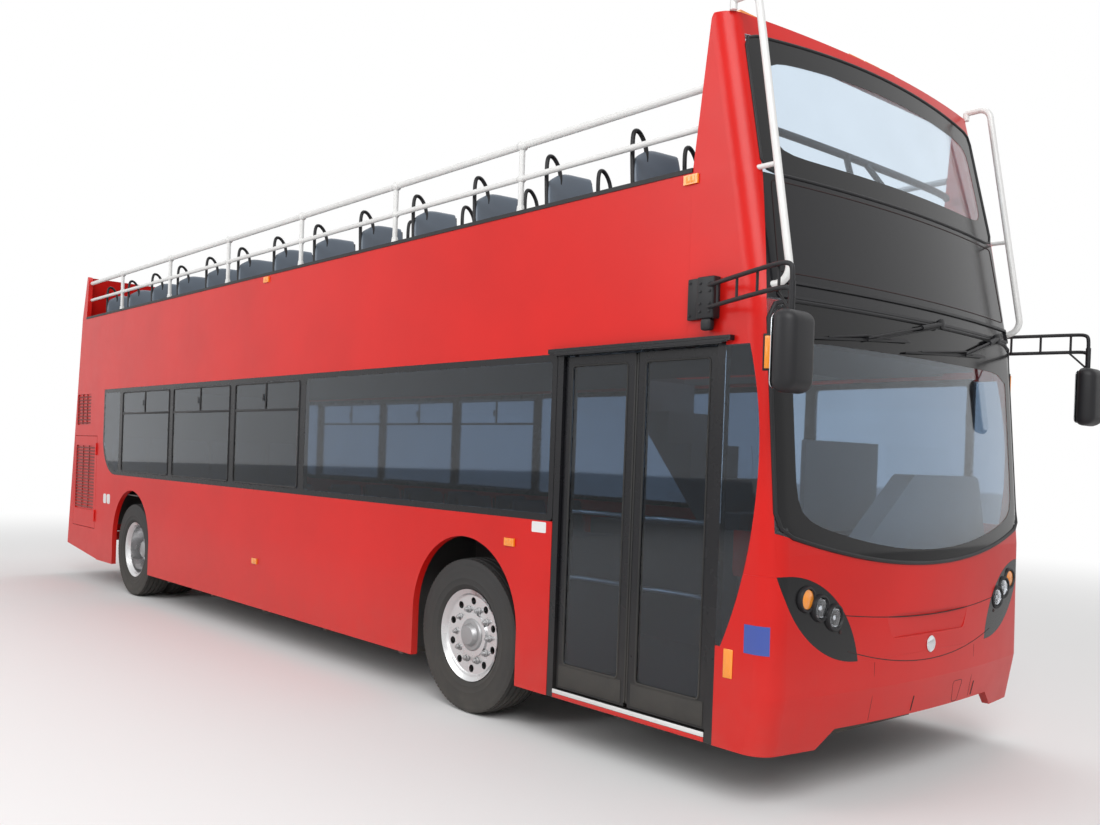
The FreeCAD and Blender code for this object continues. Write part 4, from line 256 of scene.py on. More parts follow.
def recalculate():
    """Turns the active piece's faces outward."""
    bpy.ops.object.mode_set(mode="EDIT")
    bpy.ops.mesh.select_all(action="SELECT")
    bpy.ops.mesh.normals_make_consistent(inside=False)
    bpy.ops.object.mode_set(mode="OBJECT")


def plate(outline, push, edge=0.0, segments=2):
    """An outline in space, pushed along a vector into a closed plate."""
    start()
    bpy.ops.mesh.primitive_circle_add(vertices=len(outline), fill_type="NGON")
    piece = bpy.context.object
    for vertex, point in zip(piece.data.vertices, outline):
        vertex.co = point
    bpy.ops.object.mode_set(mode="EDIT")
    bpy.ops.mesh.select_all(action="SELECT")
    bpy.ops.mesh.extrude_region_move(TRANSFORM_OT_translate={"value": push})
    recalculate()
    if edge:
        modify("BEVEL", width=edge, segments=segments)
    return piece


def pipe(points, diameter, order=2, closed=False, sides=6):
    """A round tube along points: straight runs for order 2, and swept bends for order 3 or more."""
    start()
    bpy.ops.curve.primitive_nurbs_path_add()
    path = bpy.context.object
    curve = path.data
    curve.splines.clear()
    line = curve.splines.new("NURBS" if order > 2 else "POLY")
    line.points.add(len(points) - 1)
    for knot, point in zip(line.points, points):
        knot.co = (*point, 1)
    line.use_cyclic_u = closed
    if order > 2:
        line.order_u = order
        line.use_endpoint_u = not closed
        line.resolution_u = 6
    curve.bevel_depth = diameter / 2
    curve.bevel_resolution = sides // 2
    curve.use_fill_caps = not closed
    path.select_set(True)
    bpy.ops.object.convert(target="MESH")
    return bpy.context.object


def spun(outline, centre, along="X", steps=48):
    """A closed outline of (place along the axis, radius), spun round an axis through centre."""
    start()
    bpy.ops.mesh.primitive_circle_add(vertices=len(outline), fill_type="NOTHING")
    piece = bpy.context.object
    ways = {"X": (Vector((1, 0, 0)), Vector((0, 0, 1))), "Y": (Vector((0, 1, 0)), Vector((0, 0, 1))),
            "Z": (Vector((0, 0, 1)), Vector((1, 0, 0)))}
    axis, out = ways[along]
    for vertex, (place, radius) in zip(piece.data.vertices, outline):
        vertex.co = Vector(centre) + axis * place + out * radius
    bpy.ops.object.mode_set(mode="EDIT")
    bpy.ops.mesh.select_all(action="SELECT")
    bpy.ops.mesh.spin(steps=steps, angle=2 * pi, center=centre, axis=axis)
    bpy.ops.mesh.select_all(action="SELECT")
    bpy.ops.mesh.remove_doubles(threshold=0.00002)
    recalculate()
    return piece


def one_piece(parts):
    """Joins parts that are one piece on the bus."""
    start()
    for part in parts:
        part.select_set(True)
    bpy.context.view_layer.objects.active = parts[0]
    bpy.ops.object.join()
    return parts[0]


def assemble(parts, name, body, material, smooth=32):
    """Joins parts and settles the one piece that they make."""
    one_piece(parts)
    return settle(name, body, material, smooth)


def again(piece, move=(0, 0, 0), turn=None):
    """A copy of a piece with its own mesh, moved in its mesh."""
    copy = piece.copy()
    copy.data = piece.data.copy()
    bpy.context.scene.collection.objects.link(copy)
    if turn is not None:
        copy.data.transform(turn)
    copy.data.transform(Matrix.Translation(move))
    copy.data.update()
    return copy


def nose_y(x, z):
    """Outer face of the nose: raked centre line, gentle bow and round corners."""
    levels = ((0.285, -5.179), (0.56, -5.225), (1.24, -5.215), (2.465, -5.110), (3.09, -4.990), (3.93, -4.795))
    centre = levels[-1][1]
    for (z0, y0), (z1, y1) in zip(levels, levels[1:]):
        if z <= z1:
            centre = y0 + (y1 - y0) * (z - z0) / (z1 - z0)
            break
    half = 1.275 - (0.03 * (z - 3.09) / 0.84 if z > 3.09 else 0)
    knee = half - 0.12
    if abs(x) <= knee * 8 / 7.88:
        return centre + 8 - sqrt(64 - x * x)
    across = min(abs(x) - knee, 0.1199)
    return centre + 8 - sqrt(7.88 ** 2 - knee ** 2) - sqrt(0.12 ** 2 - across ** 2)


def on_nose(x, z, out=0.0):
    """A point on the nose, or a little off it."""
    return Vector((x, nose_y(x, z) - out, z))


def nose_border(outer, inner, out, thick, rows=6):
    """A band from an outer outline of (x, z) points in to an inner one, laid on the nose and thickened."""
    start()
    bpy.ops.mesh.primitive_circle_add(vertices=len(outer), fill_type="NOTHING")
    band = bpy.context.object
    for vertex, (x, z) in zip(band.data.vertices, outer):
        vertex.co = (x, 0, z)
    bpy.ops.object.mode_set(mode="EDIT")
    bpy.ops.mesh.select_all(action="SELECT")
    for row in range(rows + 1):
        bpy.ops.object.mode_set(mode="EDIT")
        bpy.ops.mesh.extrude_region_move(TRANSFORM_OT_translate={"value": (0, 0, 0)})
        bpy.ops.object.mode_set(mode="OBJECT")
        share = (row + 1) / (rows + 1)
        for vertex, a, b in zip(list(band.data.vertices)[-len(outer):], outer, inner):
            vertex.co = (a[0] + (b[0] - a[0]) * share, 0, a[1] + (b[1] - a[1]) * share)
    for vertex in band.data.vertices:
        vertex.co.y = nose_y(vertex.co.x, vertex.co.z) - out
    recalculate()
    if band.data.polygons[0].normal.y > 0:
        bpy.ops.object.mode_set(mode="EDIT")
        bpy.ops.mesh.select_all(action="SELECT")
        bpy.ops.mesh.flip_normals()
        bpy.ops.object.mode_set(mode="OBJECT")
    modify("SOLIDIFY", thickness=thick, offset=-1)
    return band


def loop(corners, radius, per_corner=6, per_side=14):
    """A closed outline of (a, b) points with rounded corners and evenly divided sides."""
    points = []
    count = len(corners)
    for i in range(count):
        corner, before, after = Vector(corners[i]), Vector(corners[i - 1]), Vector(corners[(i + 1) % count])
        back, on = (before - corner).normalized(), (after - corner).normalized()
        half = back.angle(on) / 2
        reach = radius / (sin(half) / cos(half))
        first, last = corner + back * reach, corner + on * reach
        for step in range(per_corner + 1):
            share = step / per_corner
            points.append((1 - share) ** 2 * first + 2 * share * (1 - share) * corner + share ** 2 * last)
        nearer = after + (corner - after).normalized() * reach
        for step in range(1, per_side):
            points.append(last + (nearer - last) * step / per_side)
    return [tuple(point) for point in points]


# Small fittings of the nose: the plain disc, the tow cover with its two slots and the bumper's splits.
# The cover is a moulded lid that clips in flush, and the disc is a chromed blank.
chrome = finish("bright_chrome", (0.78, 0.79, 0.8), 0.08, dust=0.1, grain=300, bump=0.01, cloud=0.05, metal=1.0)
spun([(0.0, 0.0005), (0.0, 0.040), (-0.002, 0.044), (-0.005, 0.044), (-0.007, 0.041), (-0.006, 0.036),
      (-0.0085, 0.030), (-0.009, 0.0005)], (0, nose_y(0, 0.742), 0.742), "Y", 32)
settle("nose_disc", "coach_body", chrome)
seam = finish("dark_seam", (0.02, 0.004, 0.004), 0.7, dust=0.2, grain=300, bump=0.05)
splits = []
for x in (-0.52, 0.52):
    splits.append(pipe([on_nose(x, z, -0.0012) for z in (0.39, 0.45, 0.52, 0.60, 0.69)], 0.004, 3))
for x in (-0.132, 0.560):
    splits.append(pipe([on_nose(x + (z - 0.435) * 0.12, z, -0.0030) for z in (0.395, 0.42, 0.45, 0.475)], 0.012, 3))
cover = loop([(0.315, 0.385), (0.375, 0.385), (0.405, 0.505), (0.290, 0.505)], 0.02, 4, 3)
splits.append(pipe([on_nose(x, z, -0.0010) for x, z in cover], 0.004, 2, closed=True))
splits.append(pipe([on_nose(-0.74 + 1.48 * i / 30, 0.662 + 0.10 * ((-0.74 + 1.48 * i / 30) / 0.74) ** 2, -0.0016)
                    for i in range(31)], 0.006))
splits.append(pipe([on_nose(-0.86 + 1.72 * i / 30, 0.900 + 0.05 * ((-0.86 + 1.72 * i / 30) / 0.86) ** 2, -0.0016)
                    for i in range(31)], 0.006))
for x in (-0.80, 0.80):
    splits.append(spun([(0.002, 0.0005), (0.002, 0.010), (-0.002, 0.010), (-0.003, 0.007), (-0.003, 0.0005)],
                       on_nose(x, 0.86), "Y", 12))
assemble(splits, "bumper_seams", "coach_body", seam)

# Headlamps: each black leaf-shaped housing carries a round amber lamp at its outer end and two round
# clear lamps, each a chromed bowl under a domed lens, with a raised bezel pressed into the housing.
housing = finish("lamp_housing", (0.010, 0.010, 0.011), 0.14, dust=0.1, grain=350, bump=0.03, gloss=0.35)
dress(housing, "headlamps")
lens, tree, shader = shader_tree("clear_lens")
ribs, place = add_node(tree, "TexWave", {"Scale": 22}), add_node(tree, "TexCoord")
relief = add_node(tree, "Bump", {"Strength": 0.12, "Distance": 0.002})
tree.links.new(place.outputs["Object"], ribs.inputs["Vector"])
tree.links.new(ribs.outputs["Fac"], relief.inputs["Height"])
tree.links.new(relief.outputs["Normal"], shader.inputs["Normal"])
for socket, value in (("Base Color", (0.95, 0.97, 1, 1)), ("Roughness", 0.03), ("Transmission Weight", 1.0),
                      ("IOR", 1.45)):
    shader.inputs[socket].default_value = value
amber = finish("amber_lens", (0.95, 0.30, 0.01), 0.18, dust=0.1, grain=90, bump=0.15, cloud=0.15, coat=0.8)
red_lens = finish("red_lens", (0.55, 0.008, 0.008), 0.15, dust=0.15, grain=90, bump=0.15, cloud=0.15, coat=0.8)
bezels, bowls, clear_glasses, amber_glasses = [], [], [], []
for side in (-1, 1):
    for x, z, r, kind in ((1.045, 1.032, 0.047, "amber"), (0.948, 0.985, 0.050, "clear"),
                          (0.845, 0.935, 0.050, "clear")):
        centre = on_nose(side * x, z)
        bezels.append(spun([(0.010, r + 0.001), (-0.006, r + 0.001), (-0.013, r + 0.006), (-0.012, r + 0.014),
                            (-0.002, r + 0.019), (0.010, r + 0.019)], centre, "Y", 36))
        if kind == "clear":
            bowls.append(spun([(0.006, 0.0005), (0.006, r), (-0.002, r), (-0.004, r - 0.004), (0.002, r * 0.7),
                               (0.004, r * 0.35), (0.0, 0.012), (-0.004, 0.0005)], centre, "Y", 32))
            clear_glasses.append(spun([(-0.006, 0.0005), (-0.005, r * 0.5), (-0.0025, r - 0.002), (-0.0055, r - 0.002),
                                       (-0.0100, r * 0.6), (-0.012, 0.0005)], centre, "Y", 32))
        else:
            amber_glasses.append(spun([(0.004, 0.0005), (0.004, r), (-0.005, r), (-0.010, r * 0.65), (-0.013, 0.0005)],
                                      centre, "Y", 32))
assemble(bezels, "lamp_bezels", "coach_body", black)
assemble(bowls, "lamp_bowls", "coach_body", chrome)
assemble(clear_glasses, "lamp_lenses", "coach_body", lens)
assemble(amber_glasses, "turn_lamp_lenses", "coach_body", amber)


# Windscreens: curved laminated glass in black rubber, with a black printed border inside each. The lower
# one has a level head and a dipped sill, and the upper one has a crowned head.
def screen_glass(name, colour, transmission, rough=0.02):
    """Glass with a faint wiped haze in its gloss."""
    material, tree, shader = shader_tree(name)
    haze, place = add_node(tree, "TexNoise", {"Scale": 2.2}), add_node(tree, "TexCoord")
    tree.links.new(place.outputs["Object"], haze.inputs["Vector"])
    spread = add_node(tree, "MapRange", {"To Min": rough, "To Max": rough + 0.015})
    tree.links.new(haze.outputs["Fac"], spread.inputs["Value"])
    tree.links.new(spread.outputs["Result"], shader.inputs["Roughness"])
    shade = add_node(tree, "Mix", {"A": (*colour, 1), "B": (*[c * 0.86 for c in colour], 1)}, data_type="RGBA")
    tree.links.new(haze.outputs["Fac"], shade.inputs["Factor"])
    tree.links.new(shade.outputs["Result"], shader.inputs["Base Color"])
    shader.inputs["Transmission Weight"].default_value = transmission
    shader.inputs["IOR"].default_value = 1.45
    return material


clear = screen_glass("windscreen_glass", (0.70, 0.82, 0.94), 1.0)
dress(clear, "windscreen_lower", "windscreen_upper")


def lower_screen(inset):
    """Outline of the lower windscreen, inset all round."""
    half, top, dip = 1.236 - inset, 2.465 - inset, 0.173
    points = [(half * (1 - 2 * i / 20), top) for i in range(20)]
    low = 1.345 + inset
    points += [(-half, top - (top - low) * i / 12) for i in range(12)]
    for i in range(29):
        x = -half + 2 * half * i / 28
        points.append((x, 1.172 + inset + dip * (x / half) ** 2))
    points += [(half, low + (top - low) * i / 12) for i in range(1, 12)]
    return points


def soften(points, rounds):
    """Rounds an outline's corners by averaging neighbours."""
    for _ in range(rounds):
        points = [tuple((2 * points[i][k] + points[i - 1][k] + points[(i + 1) % len(points)][k]) / 4 for k in (0, 1))
                  for i in range(len(points))]
    return points


print_black = finish("printed_border", (0.006, 0.006, 0.007), 0.1, dust=0.05, grain=400, bump=0.01, gloss=0.3)
outer, inner = soften(lower_screen(0.012), 1), soften(lower_screen(0.075), 3)
inner = [(x * 0.955, z - (0.12 if z > 2.2 else 0.0) * min(1, (z - 2.2) / 0.15)) for x, z in inner]
nose_border(outer, inner, 0.0012, 0.0008)
settle("lower_screen_border", "coach_body", print_black)
pipe([on_nose(x, z, 0.001) for x, z in soften(lower_screen(0.004), 1)], 0.022, 2, closed=True, sides=8)
settle("lower_screen_seal", "coach_body", black)


def upper_screen(inset):
    """Outline of the upper windscreen, narrower at its head."""
    foot, head, low, high = 1.180 - inset, 1.150 - inset, 3.095 + inset, 3.815 - inset
    points = [(head * (1 - 2 * i / 28), high + 0.055 * (1 - (1 - 2 * i / 28) ** 2)) for i in range(28)]
    points += [(-head + (head - foot) * i / 12, high + (low - high) * i / 12) for i in range(12)]
    points += [(-foot + 2 * foot * i / 20, low) for i in range(20)]
    points += [(foot + (head - foot) * i / 12, low + (high - low) * i / 12) for i in range(12)]
    return points


nose_border(soften(upper_screen(0.006), 1), soften(upper_screen(0.115), 4), 0.0012, 0.0008)
settle("upper_screen_border", "coach_body", print_black)
pipe([on_nose(x, z, 0.001) for x, z in soften(upper_screen(0.0), 1)], 0.016, 2, closed=True, sides=8)
settle("upper_screen_seal", "coach_body", black)

# Destination panel: a plain black glazed panel between the screens, with a fixed cover strip along its
# foot where the wiper spindles come through, and a thin seam round its lid.
gloss_black = finish("destination_black", (0.008, 0.008, 0.010), 0.13, dust=0.05, grain=300, bump=0.015, gloss=0.3)
dress(gloss_black, "destination_panel")
strip_outer = loop([(-1.19, 2.472), (1.19, 2.472), (1.185, 2.560), (-1.185, 2.560)], 0.02, 4, 20)
strip_inner = loop([(-1.17, 2.486), (1.17, 2.486), (1.165, 2.546), (-1.165, 2.546)], 0.012, 4, 20)
nose_border(strip_outer, strip_inner, 0.010, 0.010, 1)
settle("cover_strip", "coach_body", black)
lid = loop([(-1.16, 2.60), (1.16, 2.60), (1.13, 3.06), (-1.13, 3.06)], 0.03, 5, 20)
pipe([on_nose(x, z, 0.0006) for x, z in lid], 0.005, 2, closed=True)
settle("lid_seam", "coach_body", seam)

# Wipers: pantograph arms on spindles through the cover strip, parked level under the screen's head. Each
# has a cast root, a sprung channel arm and a long rubber blade held by a bridge.
wipers = []
for root_x, root_z, tip_x, tip_z, low_x, low_z, high_x, high_z in (
        (0.154, 2.475, -0.560, 2.330, -1.008, 2.283, -0.170, 2.340),
        (0.929, 2.475, 0.450, 2.340, -0.220, 2.280, 0.735, 2.340)):
    root, tip = on_nose(root_x, root_z, 0.028), on_nose(tip_x, tip_z, 0.022)
    wipers.append(spun([(0.026, 0.0005), (0.026, 0.020), (0.004, 0.030), (-0.008, 0.028), (-0.012, 0.014),
                        (-0.013, 0.0005)], root, "Y", 20))
    knee = root.lerp(tip, 0.3) + Vector((0, -0.006, 0))
    wipers.append(pipe([root, knee], 0.026, 2))
    wipers.append(pipe([knee, tip], 0.013, 2))
    wipers.append(pipe([root + Vector((-0.02, 0, -0.022)), tip + Vector((0, 0, -0.014))], 0.009, 2))
    a, b = on_nose(low_x, low_z, 0.012), on_nose(high_x, high_z, 0.012)
    blade = plate([a, b, b + Vector((0, 0, 0.009)), b + Vector((-0.05, 0, 0.016)), a + Vector((0.05, 0, 0.016)),
                   a + Vector((0, 0, 0.009))], (0, -0.008, 0), 0.0015)
    wipers.append(blade)
    wipers.append(pipe([a.lerp(b, 0.18) + Vector((0, -0.006, 0.014)), tip + Vector((0, 0, 0.012)),
                        a.lerp(b, 0.82) + Vector((0, -0.006, 0.014))], 0.010, 2))
one_piece(wipers)
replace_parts(settle("wiper_set", "coach_body", black), "wipers")

# Window band: bonded tinted panes in a black frame. Three at the rear have slides, so each has its own
# aluminium frame, painted black, standing a little proud of the glass, with a sliding pane's meeting rail.
band_black = finish("window_frame_black", (0.010, 0.010, 0.012), 0.22, dust=0.15, grain=260, bump=0.03, gloss=0.3)
dress(band_black, "window_frame_right", "window_frame_left", "door_frame", "door_leaf_front", "door_leaf_rear")
tinted = screen_glass("tinted_side_glass", (0.26, 0.33, 0.42), 1.0, 0.02)
dress(tinted, "side_glass", "door_glass_front", "door_glass_rear")
for side, tag in ((-1, "right"), (1, "left")):
    frames = []
    skin = side * 1.2745
    for front, rear in ((-0.518, 0.668), (0.782, 2.083), (2.197, 3.518)):
        rim = loop([(front, 1.345), (rear, 1.345), (rear, 2.212), (front, 2.212)], 0.03, 5, 8)
        frames.append(pipe([(skin, y, z) for y, z in rim], 0.016, 2, closed=True))
        sill_z = 1.97
        frames.append(slab((skin - 0.006, front + 0.004, sill_z), (skin + 0.004, rear - 0.004, sill_z + 0.022), 0.003))
        middle = (front + rear) / 2
        frames.append(slab((skin - 0.006, middle - 0.012, sill_z + 0.01), (skin + 0.005, middle + 0.012, 2.208), 0.003))
        frames.append(slab((skin - 0.004, middle + 0.03, 2.06), (skin + side * 0.010, middle + 0.05, 2.12), 0.003))
    assemble(frames, f"opening_windows_{tag}", "coach_body", black)

# Blank plates: bare painted plates where notices are fixed on such buses, one by the entrance and two at
# the rear. They are thin sheet, stuck to the skin.
sign_white = finish("plate_white", (0.75, 0.75, 0.74), 0.3, dust=0.25, grain=150, bump=0.03, coat=0.3)
sign_blue = finish("plate_blue", (0.03, 0.07, 0.35), 0.25, dust=0.2, grain=150, bump=0.03, coat=0.3)
tabs = [plate([(-1.2752, y, z) for y, z in loop([(-3.535, 1.222), (-3.41, 1.222), (-3.41, 1.285),
                                                 (-3.535, 1.285)], 0.008, 3, 2)],
              (-0.0012, 0, 0))]
for low_y in (3.845, 3.965):
    tabs.append(plate([(-1.2752, y, z) for y, z in loop([(low_y, 0.955), (low_y + 0.10, 0.955), (low_y + 0.10, 1.065),
                                                        (low_y, 1.065)], 0.03, 4, 2)], (-0.0012, 0, 0)))
assemble(tabs, "blank_plates", "coach_body", sign_white)
start()
bpy.ops.mesh.primitive_grid_add(x_subdivisions=12, y_subdivisions=4)
for index, vertex in enumerate(bpy.context.object.data.vertices):
    row, column = divmod(index, 13)
    along, z = -0.050 + 0.1338 * column / 12, 0.768 + 0.137 * row / 4
    angle, corner_y = max(0.0, along) / 0.12, nose_y(-1.2749, z) + 0.0049
    vertex.co = (-1.155 - 0.1212 * cos(angle), corner_y - 0.1212 * sin(angle) + max(0.0, -along), z)
modify("SOLIDIFY", thickness=0.0008, offset=0)
settle("blank_corner_plate", "coach_body", sign_blue)

# Entrance: two glazed leaves in a black frame. A brush strip closes the meeting edges, kick panels guard
# the feet, grab bars cross the inside, and a white nosing runs over the red sill.
rubber = finish("door_rubber", (0.010, 0.010, 0.010), 0.6, dust=0.3, grain=600, bump=0.15, cloud=0.2)
grab_yellow = finish("grab_bar", (0.62, 0.62, 0.60), 0.3, dust=0.1, grain=200, bump=0.03, metal=0.9)
for body, glass_low, glass_high, meeting in (("door_leaf_front", -4.6866, -4.2564, -4.204),
                                             ("door_leaf_rear", -4.1236, -3.6934, -4.176)):
    inward = -1 if meeting < -4.19 else 1
    lip = plate([(-1.256, meeting, 0.36), (-1.256, meeting - inward * 0.004, 0.36),
                 (-1.256, meeting - inward * 0.012, 0.372),
                 (-1.256, meeting - inward * 0.012, 2.232), (-1.256, meeting - inward * 0.004, 2.243),
                 (-1.256, meeting, 2.243)],
                (0.036, 0, 0), 0.002)
    kick = slab((-1.2555, glass_low - 0.03, 0.355), (-1.2525, glass_high + 0.03, 0.470), 0.001)
    foot = slab((-1.2560, glass_low - 0.03, 0.470), (-1.2500, glass_high + 0.03, 0.478), 0.001)
    rim = pipe([(-1.2525, y, z) for y, z in loop([(glass_low, 0.4824), (glass_high, 0.4824), (glass_high, 2.1916),
                                                  (glass_low, 2.1916)], 0.024, 4, 8)], 0.012, 2, closed=True)
    assemble([lip, kick, foot, rim], f"{body}_rubber", body, rubber)
    bars = []
    for z in (0.98, 1.36):
        bars.append(pipe([(-1.214, glass_low - 0.015, z), (-1.160, glass_low - 0.012, z),
                          (-1.160, glass_high + 0.012, z),
                          (-1.214, glass_high + 0.015, z)], 0.026, 3))
    assemble(bars, f"{body}_grab_bars", body, grab_yellow)
slab((-1.2765, -4.742, 0.312), (-1.2725, -3.638, 0.336), 0.001)
settle("sill_nosing", "coach_body", sign_white)
slab((-1.2755, -4.742, 0.287), (-1.2726, -3.638, 0.310), 0.001)
settle("sill_face", "coach_body", red)
drips = []
for z in (2.166, 2.182):
    drips.append(pipe([(-1.308, -4.83, z), (-1.308, -3.55, z)], 0.006, 2))
one_piece(drips)
for vertex in bpy.context.object.data.vertices:
    vertex.co.z += 0.094
settle("gutter_beads", "coach_body", black)

# Open deck rails: white tubes in ball fittings, which are cast, drilled for the tube and fixed with a
# grub screw. The posts stand in turned sockets screwed to the dark cap.
white = finish("white_powder_coat", (0.74, 0.74, 0.73), 0.28, dust=0.15, dust_high=3.0, grain=180, bump=0.03, cloud=0.1)
dress(white, "deck_rails", "branch_guards")
balls = []
ball = spun([(-0.036, 0.0005), (-0.036, 0.023), (-0.026, 0.026), (-0.018, 0.031), (0, 0.0345), (0.018, 0.031),
             (0.026, 0.026), (0.036, 0.023), (0.036, 0.0005)], (0, 0, 0), "Y", 20)
socket = spun([(0.0, 0.0005), (0.0, 0.040), (0.006, 0.040), (0.010, 0.026), (0.045, 0.022), (0.050, 0.0195),
               (0.050, 0.0005)], (0, 0, 0), "Z", 20)
for side in (-1, 1):
    for i in range(6):
        y = -3.138 + 1.390 * i
        balls.append(again(ball, (side * 1.222, y, 3.572)))
        balls.append(again(ball, (side * 1.222, y, 3.370), Matrix.Scale(0.82, 4)))
        balls.append(again(socket, (side * 1.222, y, 3.157)))
for spare in (ball, socket):
    bpy.data.objects.remove(spare)
assemble(balls, "rail_fittings", "coach_body", white)

# Rail inside the upper windscreen: a dark tube across the deck's front, on two raked struts that meet
# it at the middle.
front_rail = [pipe([(-1.165, -4.60, 3.44), (-1.1, -4.66, 3.44), (1.1, -4.66, 3.44), (1.165, -4.60, 3.44)], 0.042,
                   3, sides=8)]
for x in (-0.10, 0.10):
    front_rail.append(pipe([(x, -4.66, 3.44), (x * 2.6, -4.84, 3.12)], 0.034, 2, sides=8))
front_rail.append(slab((-0.34, -4.87, 3.10), (0.34, -4.81, 3.125), 0.006))
assemble(front_rail, "front_grab_rail", "coach_body", black)

# Marker lamps: moulded amber lenses on black bases, three at the middle of the hoop and the rest along
# the sides, with a taller one on each corner pillar and an upright reflector ahead of the door.
dress(amber, "marker_lamps")
uprights, bases = [], []
for side in (-1, 1):
    for group, half_wide, low_z, high_z, out, edge in ((uprights, 0.015, 2.123, 2.279, 0.014, 0.005),
                                                       (bases, 0.021, 2.113, 2.289, 0.006, 0.002)):
        lamp = slab((-half_wide, -out, low_z), (half_wide, 0.012, high_z), edge, 3)
        lamp.data.transform(Matrix.Translation((side * 1.240, -5.013, 0)) @ Matrix.Rotation(side * radians(45), 4, "Z"))
        group.append(lamp)
    uprights.append(slab((side * 1.2752, -4.905, 0.630), (side * 1.2790, -4.850, 0.770), 0.0015))
    for y, z in ((-4.540, 3.098), (0.132, 3.098), (0.176, 0.682), (-3.215, 1.143)):
        for step in (-0.015, 0.015):
            uprights.append(slab((side * 1.2868, y + step - 0.012, z - 0.017),
                                 (side * 1.2888, y + step + 0.012, z + 0.017), 0.001))
assemble(uprights, "side_lamp_lenses", "coach_body", amber)
assemble(bases, "side_lamp_bases", "coach_body", black)


# Mirrors: deep moulded shells with rounded corners, hung from a two-tube ladder arm that hinges on a
# bolted black box on each front pillar. The glass faces back along the side.
def bolt_head(centre, side, radius, height, steps):
    """A chamfered bolt head that faces out to one side."""
    return spun([(0.0, 0.0005), (0.0, radius), (side * (height - 0.002), radius), (side * height, radius - 0.003),
                 (side * height, 0.0005)], centre, "X", steps)


mirror_glass = finish("mirror_face", (0.75, 0.78, 0.80), 0.03, dust=0.1, grain=120, bump=0.005, cloud=0.04, metal=1.0)
for side, tag in ((-1, "right"), (1, "left")):
    x, y, top = side * 1.550, -5.375, 2.340
    shell = slab((x - 0.112, y - 0.056, top - 0.366), (x + 0.112, y + 0.052, top), 0.05, 5)
    for vertex in shell.data.vertices:
        ahead_share = max(0.0, (y + 0.03 - vertex.co.y) / 0.086)
        taper = 1 - 0.16 * ahead_share
        vertex.co.x = x + (vertex.co.x - x) * taper
        vertex.co.z = top - 0.183 + (vertex.co.z - top + 0.183) * (1 - 0.08 * ahead_share)
    root, corner = Vector((side * 1.318, -4.700, 2.430)), Vector((x, y + 0.02, 2.440))
    lift = Vector((0, 0, 0.108))
    bend = Vector((0, 0.07, 0))
    arm = [shell]
    for rise, drop in ((lift, 0.075), (Vector((0, 0, 0)), 0.055)):
        tip = corner + rise
        arm.append(pipe([root + rise, tip + bend * 1.4, tip + bend * 0.2, tip - Vector((0, 0, drop * 0.4)),
                         tip - Vector((0, 0, drop)), Vector((x, y + 0.02, top - 0.01))], 0.022, 4, sides=8))
    for share in (0.14, 0.38, 0.62, 0.86):
        foot = root.lerp(corner, share)
        arm.append(pipe([foot, foot + lift], 0.014))
    arm.append(pipe([root.lerp(corner, 0.84), Vector((x, y + 0.02, top - 0.012))], 0.012))
    arm.append(pipe([corner + Vector((0, 0, 0.02)), Vector((x, y + 0.02, top - 0.02))], 0.030, sides=8))
    arm.append(slab((side * 1.2756, -4.752, 2.376), (side * 1.334, -4.646, 2.584), 0.008, 3))
    arm.append(slab((side * 1.2756, -4.640, 2.378), (side * 1.300, -4.560, 2.586), 0.006))
    arm.append(slab((side * 1.290, -4.735, 2.318), (side * 1.334, -4.672, 2.378), 0.014, 3))
    for dy in (-0.030, 0.030):
        for z in (2.41, 2.45, 2.51, 2.55):
            arm.append(bolt_head((side * 1.333, -4.699 + dy, z), side, 0.008, 0.006, 8))
    for z in (2.40, 2.565):
        arm.append(bolt_head((side * 1.299, -4.575, z), side, 0.008, 0.006, 8))
    one_piece(arm)
    mirror = settle(f"mirror_{tag}", "coach_body", black, 40)
    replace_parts(mirror, "mirrors")
    face = plate([(px, y + 0.050, pz) for px, pz in loop([(x - 0.094, top - 0.345), (x + 0.094, top - 0.345),
                                                          (x + 0.094, top - 0.022),
                                                        (x - 0.094, top - 0.022)], 0.035, 6, 3)], (0, 0.004, 0), 0.001)
    settle(f"mirror_glass_{tag}", "coach_body", mirror_glass)


# Deck and saloon seats: moulded shells in pairs on a pressed frame. The deck's backs are taller, and each
# has a looped black grab handle at its window corner, whose tube runs on down the back's edge.
shell_grey = finish("seat_shell", (0.13, 0.165, 0.21), 0.34, dust=0.25, dust_high=4.0, grain=420, bump=0.10, cloud=0.12)
deck_cover = finish("deck_covering", (0.07, 0.07, 0.075), 0.6, dust=0.3, dust_high=4.0, grain=90, bump=0.25, cloud=0.2)
dress(deck_cover, "lower_floor", "upper_deck")
dress(finish("stair_paint", (0.18, 0.18, 0.19), 0.45, dust=0.3, dust_high=3.0, grain=150, bump=0.1), "stairs")


